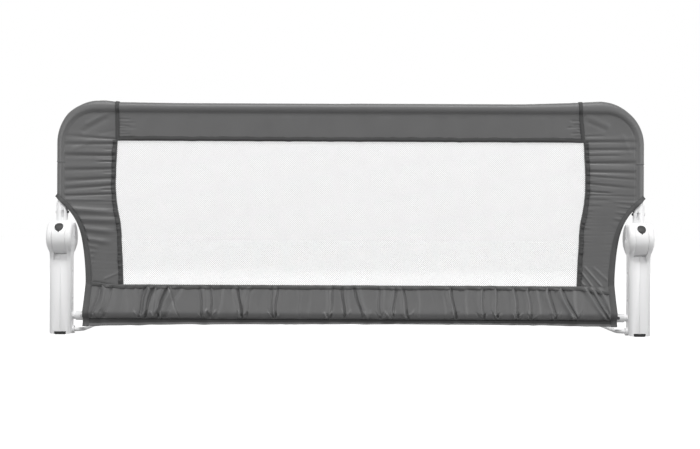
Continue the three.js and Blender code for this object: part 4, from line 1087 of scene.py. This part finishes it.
def bottom_band_points():
    profile, front_count = band_profile()
    shares = np.linspace(-1, 1, BAND_COLUMNS)
    half = edge_x(FREE_EDGE, profile[:, 1]) - BAND_END_GAP
    x = shares[:, None] * half[None, :]
    y = np.broadcast_to(profile[:, 0], x.shape).copy()
    z = np.broadcast_to(profile[:, 1], x.shape).copy()
    ends = smooth_step((half[None, :] - np.abs(x) - BINDING_WIDTH) / EDGE_SLOPE)
    above_foot = smooth_step((z - FLANGE_TOP[1] - FOLD_CLEARANCE) / FOLD_FOOT)
    fade = above_foot * smooth_step((NET_BOTTOM - z) / HEM_RISE) * ends
    face = slice(0, front_count)
    flange = slice(front_count, front_count + 2 * FLANGE_STEPS - 2)
    back = slice(front_count + 2 * FLANGE_STEPS - 2, None)
    front = band_heights(x, z, half.max()) * fade
    behind = band_heights(-x, z, half.max()) * fade
    y[:, face] = np.minimum(y[:, face] - front[:, face], -BAND_TOP_DEPTH * BAND_LEAST_SHARE)
    tube = np.sqrt(np.maximum(BAND_CLEAR**2 - (z[:, face] - CROSS_TUBE_Z) ** 2, 0))
    y[:, face] = np.minimum(y[:, face], -tube)
    y[:, back] += np.maximum(behind[:, back], -BAND_BACK_DIP)
    generator = random.Random(FLANGE_SEED)
    for _ in range(FLANGE_WAVE_COUNT):
        at, width, push, drop = draw(generator, FLANGE_WAVES)
        shape = hump(x[:, flange] - at, width) * (FLANGE_TOP[1] - z[:, flange]) / FLANGE_WAVE_RISE
        y[:, flange] += push * shape
        z[:, flange] -= drop * shape
    arch = 1 - np.abs(x[:, flange] / half.max()) ** FLANGE_ARCH_POWER
    tilt = flange_tilt(x[:, flange], z[:, flange])
    z[:, flange] += FLANGE_ARCH * arch * flange_share(z[:, flange]) + tilt
    return np.stack([x, y, z], axis=-1)


def make_bottom_band():
    piece = grid_object("bottom_band_cloth", placed(bottom_band_points()), COVER)
    profile, front_count = band_profile()
    piece.data.materials.append(HEM)
    piece.data.materials.append(PAINTED_CREASE_SHADOW)
    painted_shade_slots = np.zeros((BAND_COLUMNS - 1, len(profile) - 1), int)
    # Slot 1 paints shade: the darker hem cloth on the undercut's last face and the flange's upper half,
    # which lie in the shadow of the bulge above
    painted_shade_slots[:, front_count - 1 : front_count + FLANGE_STEPS // 2 - 1] = 1
    # Slot 2 paints the shadow in the crease under the pocket with the near-black cloth
    heights = profile[:, 1]
    in_painted_crease = (heights[:-1] < PAINTED_CREASE_HEIGHTS[1]) & (heights[1:] > PAINTED_CREASE_HEIGHTS[0]) & (profile[1:, 0] < 0)
    painted_shade_slots[:, in_painted_crease] = 2
    piece.data.polygons.foreach_set("material_index", painted_shade_slots.ravel())
    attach(piece, "base")
    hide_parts("bottom_band")


# Stitch rows
STITCH_LENGTH = 0.0026
STITCH_PITCH = 0.0038
STITCH_RADIUS = 0.00032
STITCH_CORNERS = 4
THREAD_PROUD = 0.0002


def stitches(name, paths):
    """Rows of stitches along paths in the row frame; each stitch is a slim grain, pointed at both ends."""
    vertices, faces = [], []
    for path in paths:
        path = np.array(path)
        lengths = lengths_along(path)
        for at in np.arange(STITCH_PITCH, lengths[-1] - STITCH_PITCH, STITCH_PITCH):
            start = np.array([np.interp(at, lengths, path[:, i]) for i in range(3)])
            end = np.array([np.interp(at + STITCH_LENGTH, lengths, path[:, i]) for i in range(3)])
            run = (end - start) / np.linalg.norm(end - start)
            side = np.cross(run, (0, 1, 0))
            side /= np.linalg.norm(side)
            up = np.cross(run, side)
            base = len(vertices)
            vertices += [start, end]
            for turn in range(STITCH_CORNERS):
                angle = turn * math.tau / STITCH_CORNERS
                offset = side * math.cos(angle) + up * math.sin(angle)
                vertices.append((start + end) / 2 + offset * STITCH_RADIUS)
            for turn in range(STITCH_CORNERS):
                a = base + 2 + turn
                b = base + 2 + (turn + 1) % STITCH_CORNERS
                faces += [(base, a, b), (base + 1, b, a)]
    return new_object(name, vertices, faces, THREAD, False)


def thread_line(points, facing):
    """Line of stitches on points of a strip's front, where facing is 1, or of its back."""
    line = points.copy()
    line[:, 1] -= facing * THREAD_PROUD
    return line


# Binding: tape folded round the free side edge. Its section runs from the stitched edge to the fold, as
# shares of its width and of its thickness.
BINDING_DEPTH = 0.0011
TAPE_BEHIND = 0.0003
TAPE_SECTION = [
    (1.0, 0.2), (0.97, 0.7), (0.91, 0.85), (0.85, 0.55), (0.79, 0.95), (0.5, 1.1), (0.25, 1.1), (0.08, 0.9),
    (0.0, 0.5),
]
TAPE_COLUMNS = 2 * len(TAPE_SECTION) + 1
TAPE_STITCHED = 3
TAPE_STEPS = 240
TAPE_TOP = FLARE_Z - 0.0002
TAPE_FOOT = FLANGE_BOTTOM - 0.0003
PANEL_TUCK = 0.004
PANEL_FADE = 0.008


def cover_depth(side, x, z):
    """Distance of the whole cover's front from the tube's plane along the free side edge."""
    profile, front_count = band_profile()
    front = profile[: front_count + FLANGE_STEPS - 1][::-1]
    band = -np.interp(z, front[:, 1], front[:, 0])
    share = smooth_step((z - NET_BOTTOM + PANEL_TUCK) / PANEL_FADE)
    return band * (1 - share) + side_depth(side, x, z) * share


def folded_tape(name, side):
    """Tape folded round one layer's free edge, on the right-hand side and in front."""
    heights = np.linspace(TAPE_TOP, TAPE_FOOT, TAPE_STEPS)
    path = np.column_stack([edge_x(FREE_EDGE, heights), heights])[::-1]
    normals = edge_normals(path)
    front, back = [], []
    for share, rise_share in TAPE_SECTION:
        place = path + normals * (tape_width(path[:, 1]) * share)[:, None]
        depth = cover_depth(side, place[:, 0], place[:, 1])
        front.append(at_depth(place, depth + BINDING_DEPTH * rise_share))
        back.append(at_depth(place, depth - TAPE_BEHIND))
    tip = at_depth(path - normals * TAPE_BEHIND, cover_depth(side, path[:, 0], path[:, 1]))
    rows = front + [tip] + back[::-1]
    return grid_object(name, placed(np.array(rows).transpose(1, 0, 2)), TAPE)


def make_bindings(side):
    """One tape round the front layer's free edge and one round the back layer's, each stitched through."""
    made, lines = [], []
    for facing in (1, -1):
        tape = folded_tape(f"{side}_binding_{facing}", side)
        points = mirrored(get_points(tape), SIDES[side])
        points[:, 1] = TUBE_Y + facing * (points[:, 1] - TUBE_Y)
        points[:, 2] += flange_tilt(points[:, 0], points[:, 2])
        set_points(tape, points)
        lines.append(thread_line(points.reshape(-1, TAPE_COLUMNS, 3)[:, TAPE_STITCHED], facing))
        made.append(weld_object(tape))
    piece = join_as(f"{side}_binding_tape", made)
    hinge_blend(piece)
    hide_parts(f"{side}_upper_binding", f"{side}_lower_binding")
    seam = stitches(f"{side}_binding_stitches", lines)
    hinge_blend(seam)
    return [piece, seam]


# Hems of the window. Their section runs from the stitched edge to the fold: share of the width and
# height over the cloth.
HEM_SECTION = [(1.0, 0.0002), (0.93, 0.0008), (0.7, 0.0012), (0.4, 0.0012), (0.14, 0.0007), (0.0, 0.0)]
HEM_COLUMNS = 2 * len(HEM_SECTION) + 2
HEM_STITCHED = 1
HEM_TURN = 0.28
HEM_TURN_LEVEL = 0.5
HEM_TIP = 0.0002
# Ranges of span, rise, shift of the edge and step
HEM_RIPPLES = [(0.0012, 0.0032), (-0.0006, 0.0009), (-0.0004, 0.0004), (0.002, 0.006)]
HEM_SHIFT_SPAN = 3
FOLD_SHIFT_SHARE = 0.6
SEAM_SHIFT_SHARE = 0.5
FLAT_FROM = 0.9
TOP_HEM_STEPS = 420
SIDE_HEM_STEPS = 330
SIDE_HEM_RISE = 0.001
SIDE_HEM_TUCK = 0.002
BOTTOM_HEM_STEPS = 560
BOTTOM_HEM_END = 0.9
LEFT_HEM_RISE = 0.0042
RIGHT_HEM_DROP = 0.0075
HEM_SEEDS = {"top": 3, "left": 19, "right": 21, "bottom": 9}
HEM_STRENGTHS = {"top": 0.3, "side": 1.7, "bottom": 0.6}


def top_cloth_depth(x, z):
    """Depth of the top band's plain face over its hem; the same at every x."""
    slope = (TOP_DIP_SHARE * POCKET - SIDE_DEPTH) / (TOP_TUBE_Z - NET_TOP)
    return SIDE_DEPTH + slope * (z - NET_TOP)


def side_cloth_depth(side, x, z):
    """Depth of a side panel's plain face beside the window."""
    slope = (DIP_SHARES[side] * POCKET - SIDE_DEPTH) / (UNIT_X - SEAM_X)
    return SIDE_DEPTH + slope * open_share(z) * (x - edge_x(NET_EDGE, z))


def window_hem(name, path, width, seed, strength, ruffled, cloth_depth, material=HEM):
    """Darker strip round the window's edge, folded over both layers of the cover; cloth_depth gives
    the plain cloth's place under it and ruffled what the gathers add."""
    generator = random.Random(seed)
    path = np.array(path)
    lengths = lengths_along(path)
    wave = np.zeros(len(path))
    shift = np.zeros(len(path))
    at = 0.0
    while at < lengths[-1]:
        span, rise, aside, step = draw(generator, HEM_RIPPLES)
        wave += strength * rise * hump(lengths - at, span)
        shift += aside * hump(lengths - at, HEM_SHIFT_SPAN * span)
        at += step
    normals = edge_normals(path)
    edge = path + normals * shift[:, None] * FOLD_SHIFT_SHARE
    columns = []
    for share, proud in HEM_SECTION:
        place = edge + normals * (width * share + (shift * SEAM_SHIFT_SHARE)[:, None] * share)
        cloth = ruffled(place[:, 0], place[:, 1]) * smooth_step(width * share / HEM_RISE)
        plain = cloth_depth(place[:, 0], place[:, 1]) * smooth_step(HEM_TURN_LEVEL + share / HEM_TURN)
        ripple = np.maximum(wave * min(1, 2 * share), 0 if share > FLAT_FROM else -np.inf)
        columns.append(at_depth(place, plain + proud + cloth + ripple))
    columns.append(at_depth(edge, np.full(len(edge), HEM_TIP)))
    front = np.array(columns)
    back = front[::-1].copy()
    back[..., 1] *= -1
    return grid_object(name, placed(np.concatenate([front, back]).transpose(1, 0, 2)), material)


def hem_stitches(name, hem):
    """Stitches along both faces of a window hem."""
    points = get_points(hem).reshape(-1, HEM_COLUMNS, 3)
    front = thread_line(points[:, HEM_STITCHED], 1)
    back = thread_line(points[:, HEM_COLUMNS - 1 - HEM_STITCHED], -1)
    seam = stitches(name, [front, back])
    return seam


def make_top_hem():
    path = [(x, NET_TOP) for x in np.linspace(SEAMS["left"][1], SEAMS["right"][1], TOP_HEM_STEPS)]
    waves_above = partial(top_waves, seed=TOP_SEED)
    hem = window_hem(
        "top_hem", path, HEM_WIDTH, HEM_SEEDS["top"], HEM_STRENGTHS["top"], waves_above, top_cloth_depth,
    )
    seam = hem_stitches("top_hem_stitches", hem)
    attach(hem, "upper_frame")
    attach(seam, "upper_frame")
    return [hem, seam]


def make_side_hem(side):
    heights = np.linspace(NET_TOP + SIDE_HEM_RISE, NET_BOTTOM - SIDE_HEM_TUCK, SIDE_HEM_STEPS)
    path = np.column_stack([edge_x(NET_EDGE, heights), heights])
    gathers = partial(gather_heights, side)
    plain = partial(side_cloth_depth, side)
    hem = window_hem(
        f"{side}_hem", path, HEM_WIDTH, HEM_SEEDS[side], HEM_STRENGTHS["side"], gathers, plain,
    )
    set_points(hem, mirrored(get_points(hem), SIDES[side]))
    seam = hem_stitches(f"{side}_hem_stitches", hem)
    weld_object(hem)
    hinge_blend(hem)
    hinge_blend(seam)
    return [hem, seam]


def make_bottom_hem():
    """Darker strip along the bottom band's upper edge, which runs on over the side panels' feet."""
    half = float(edge_x(FREE_EDGE, NET_BOTTOM))
    end = half - BINDING_WIDTH * BOTTOM_HEM_END
    corner = float(edge_x(NET_EDGE, NET_BOTTOM))
    xs = np.linspace(end, -end, BOTTOM_HEM_STEPS)
    left_rise = LEFT_HEM_RISE * smooth_step((-xs - corner) / (end - corner))
    right_drop = RIGHT_HEM_DROP * smooth_step((xs - corner + HEM_RISE) / (end - corner + HEM_RISE))
    path = np.column_stack([xs, NET_BOTTOM + left_rise - right_drop])
    folds = partial(band_heights, half_length=half)
    hem = window_hem(
        "bottom_hem", path, BOTTOM_HEM_WIDTH, HEM_SEEDS["bottom"], HEM_STRENGTHS["bottom"],
        folds, bottom_cloth_depth, BAND_HEM,
    )
    seam = hem_stitches("bottom_hem_stitches", hem)
    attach(hem, "base")
    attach(seam, "base")
    return [hem, seam]


# Tapes over the slanted seams: share of the width across the seam and height over the cloth
SEAM_WIDTH = 0.0070
SEAM_SECTION = [(-0.5, 0.0002), (-0.44, 0.0008), (0.0, 0.0010), (0.44, 0.0008), (0.5, 0.0002)]
SEAM_STITCHED = (1, 3)


def make_seam_tapes():
    made = []
    for side, (upper, lower) in SEAMS.items():
        rows = []
        for share, proud in SEAM_SECTION:
            offset = share * SEAM_WIDTH
            lift = lift_at(side, abs(upper + offset)) + proud
            foot = (lower + offset, NET_TOP)
            section = sleeve_section(foot, (upper + offset, TOP_TUBE_Z), (0, 1), BAND_FRONT, lift)
            section[:, 1] += np.sign(section[:, 1]) * proud
            rows.append(section)
        tape = grid_object(f"{side}_seam_tape", placed(np.array(rows)), HEM)
        points = get_points(tape).reshape(len(rows), -1, 3)
        seam = stitches(f"{side}_seam_stitches", [points[row] for row in SEAM_STITCHED])
        for piece in (tape, seam):
            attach(piece, "upper_frame")
        made += [tape, seam]
    return made


# Window net: open diamond meshes of thread, staggered row by row, with a knot between every four
NET_PITCH = 0.00362
NET_OPEN_SHARE = 0.74
NET_INSET = 0.0028
NET_SPARE_COLUMNS = 4
MESH_CORNERS = [(1, 0), (0, 1), (-1, 0), (0, -1)]


def make_net():
    step = NET_PITCH / 2
    rows = int((NET_TOP - NET_BOTTOM + 2 * NET_INSET) / step) + 1
    columns = int(2 * NET_EDGE[2][0] / NET_PITCH) + NET_SPARE_COLUMNS
    row, column = np.meshgrid(np.arange(rows), np.arange(columns), indexing="ij")
    shifted = row % 2
    z = NET_BOTTOM - NET_INSET + row * step
    x = (column - columns / 2 + 0.5 * shifted) * NET_PITCH
    inside = np.abs(x) < edge_x(NET_EDGE, z) + NET_INSET - step
    centres = np.column_stack([x[inside], z[inside]])
    corners = step * NET_OPEN_SHARE * np.array(MESH_CORNERS)
    flat = (centres[:, None, :] + corners[None]).reshape(-1, 2)
    cells = np.full((rows + 2, columns + 2), -1)
    cells[:rows, 1:-1][inside] = np.arange(len(centres))
    below = cells[row, column + 1]
    right = cells[row + 1, column + 1 + shifted]
    left = cells[row + 1, column + shifted]
    above = cells[row + 2, column + 1]
    # Two threads and a knot for each mesh: the meshes that a face touches, and which corner of each
    faces = []
    for members, sides in (
        ((below, below, right, right), (1, 0, 3, 2)),
        ((below, below, left, left), (2, 1, 0, 3)),
        ((below, right, above, left), (1, 2, 3, 0)),
    ):
        whole = np.all([member >= 0 for member in members], axis=0)
        numbers = [len(MESH_CORNERS) * member[whole] + side for member, side in zip(members, sides)]
        faces.append(np.column_stack(numbers))
    vertices = placed(at_depth(flat, np.zeros(len(flat))))
    piece = new_object("window_net", vertices, np.concatenate(faces).tolist(), NET)
    hinge_blend(piece)
    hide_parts("upper_net", "lower_net")


# Floor and world: plain white where they are seen, and dim where they light the pieces
WHITE = (1, 1, 1, 1)
FLOOR_SIZE = 12.0
FLOOR_COLOUR = 0.2
FLOOR_GLOW = 0.96
FLOOR_GAP = 0.0002
WORLD_LIGHT = 0.24


def seen_directly(tree):
    """1 for camera, mirror and see-through rays and 0 for all others."""
    rays = add_node(tree, "ShaderNodeLightPath").outputs
    first = math_node(tree, "MAXIMUM", rays["Is Camera Ray"], rays["Is Glossy Ray"])
    return math_node(tree, "MAXIMUM", first, rays["Is Transmission Ray"])


def make_floor():
    """Pale floor that keeps its shadow, with a glow for direct rays only."""
    material, tree = new_material("pale_floor")
    tree.nodes.remove(tree.nodes["Principled BSDF"])
    pale = add_node(tree, "ShaderNodeBsdfDiffuse", {"Color": (*grey(FLOOR_COLOUR), 1)})
    strength = math_node(tree, "MULTIPLY", seen_directly(tree), FLOOR_GLOW)
    glow = add_node(tree, "ShaderNodeEmission", {"Color": WHITE, "Strength": strength})
    both = add_node(tree, "ShaderNodeAddShader", {0: pale.outputs[0], 1: glow.outputs[0]})
    put(tree, tree.nodes["Material Output"].inputs["Surface"], both.outputs[0])
    size = FLOOR_SIZE
    corners = [(-size, -size, 0), (size, -size, 0), (size, size, 0), (-size, size, 0)]
    floor = new_object("floor", corners, [(0, 1, 2, 3)], material, False)
    floor.location.z = -FLOOR_GAP


def make_world():
    world = bpy.data.worlds.new("studio")
    bpy.context.scene.world = world
    world.use_nodes = True
    tree = world.node_tree
    background = tree.nodes["Background"]
    put(tree, background.inputs["Color"], WHITE)
    put(tree, background.inputs["Strength"], map_range(tree, seen_directly(tree), WORLD_LIGHT, 1.0))


# Lamps: place, size and power, all turned towards one point
LAMP_TARGET = (0, TUBE_Y, 0.2)
LAMPS = {
    "key_left": ((-1.85, -1.6, 0.5), (0.35, 1.2), 15),
    "key_right": ((1.85, -1.55, 0.5), (0.35, 1.2), 13.5),
    "rim_right": ((2.5, -0.55, 0.45), (0.4, 1.0), 8.5),
    "top": ((0.0, -1.15, 2.3), (2.4, 0.6), 53),
    "back": ((0.0, 2.4, 1.2), (2.4, 0.8), 24),
}


def make_lights():
    for name, (place, size, power) in LAMPS.items():
        light = bpy.data.lights.new(name, "AREA")
        light.shape = "RECTANGLE"
        light.size, light.size_y = size
        light.energy = power
        lamp = bpy.data.objects.new(name, light)
        bpy.context.collection.objects.link(lamp)
        lamp.location = place
        lamp.rotation_euler = (Vector(LAMP_TARGET) - Vector(place)).to_track_quat("-Z", "Y").to_euler()


# Camera: places in metres, lens and sensor in millimetres
CAMERA_DISTANCE = 2.0
CAMERA_HEIGHT = 0.192
CAMERA_SIDE = -0.0005
CAMERA_SHIFT = 0.001
CAMERA_ROLL = math.radians(0.26)
LENS = 58.8
SENSOR = 36.0


def make_camera():
    data = bpy.data.cameras.new("camera")
    data.lens = LENS
    data.sensor_width = SENSOR
    data.shift_y = CAMERA_SHIFT
    camera = bpy.data.objects.new("camera", data)
    bpy.context.collection.objects.link(camera)
    place = Matrix.Translation((CAMERA_SIDE, TUBE_Y - CAMERA_DISTANCE, CAMERA_HEIGHT))
    upright = Matrix.Rotation(math.pi / 2, 4, "X") @ Matrix.Rotation(CAMERA_ROLL, 4, "Z")
    camera.matrix_world = place @ upright
    bpy.context.scene.camera = camera
    bpy.context.scene.view_settings.view_transform = "Standard"


make_camera()
dress_frame()
for side_name in SIDES:
    make_side_cover(side_name)
    make_bindings(side_name) + make_side_hem(side_name)
make_top_band()
make_bottom_band()
make_net()
make_seam_tapes() + make_top_hem()
make_bottom_hem()
make_floor()
make_world()
make_lights()
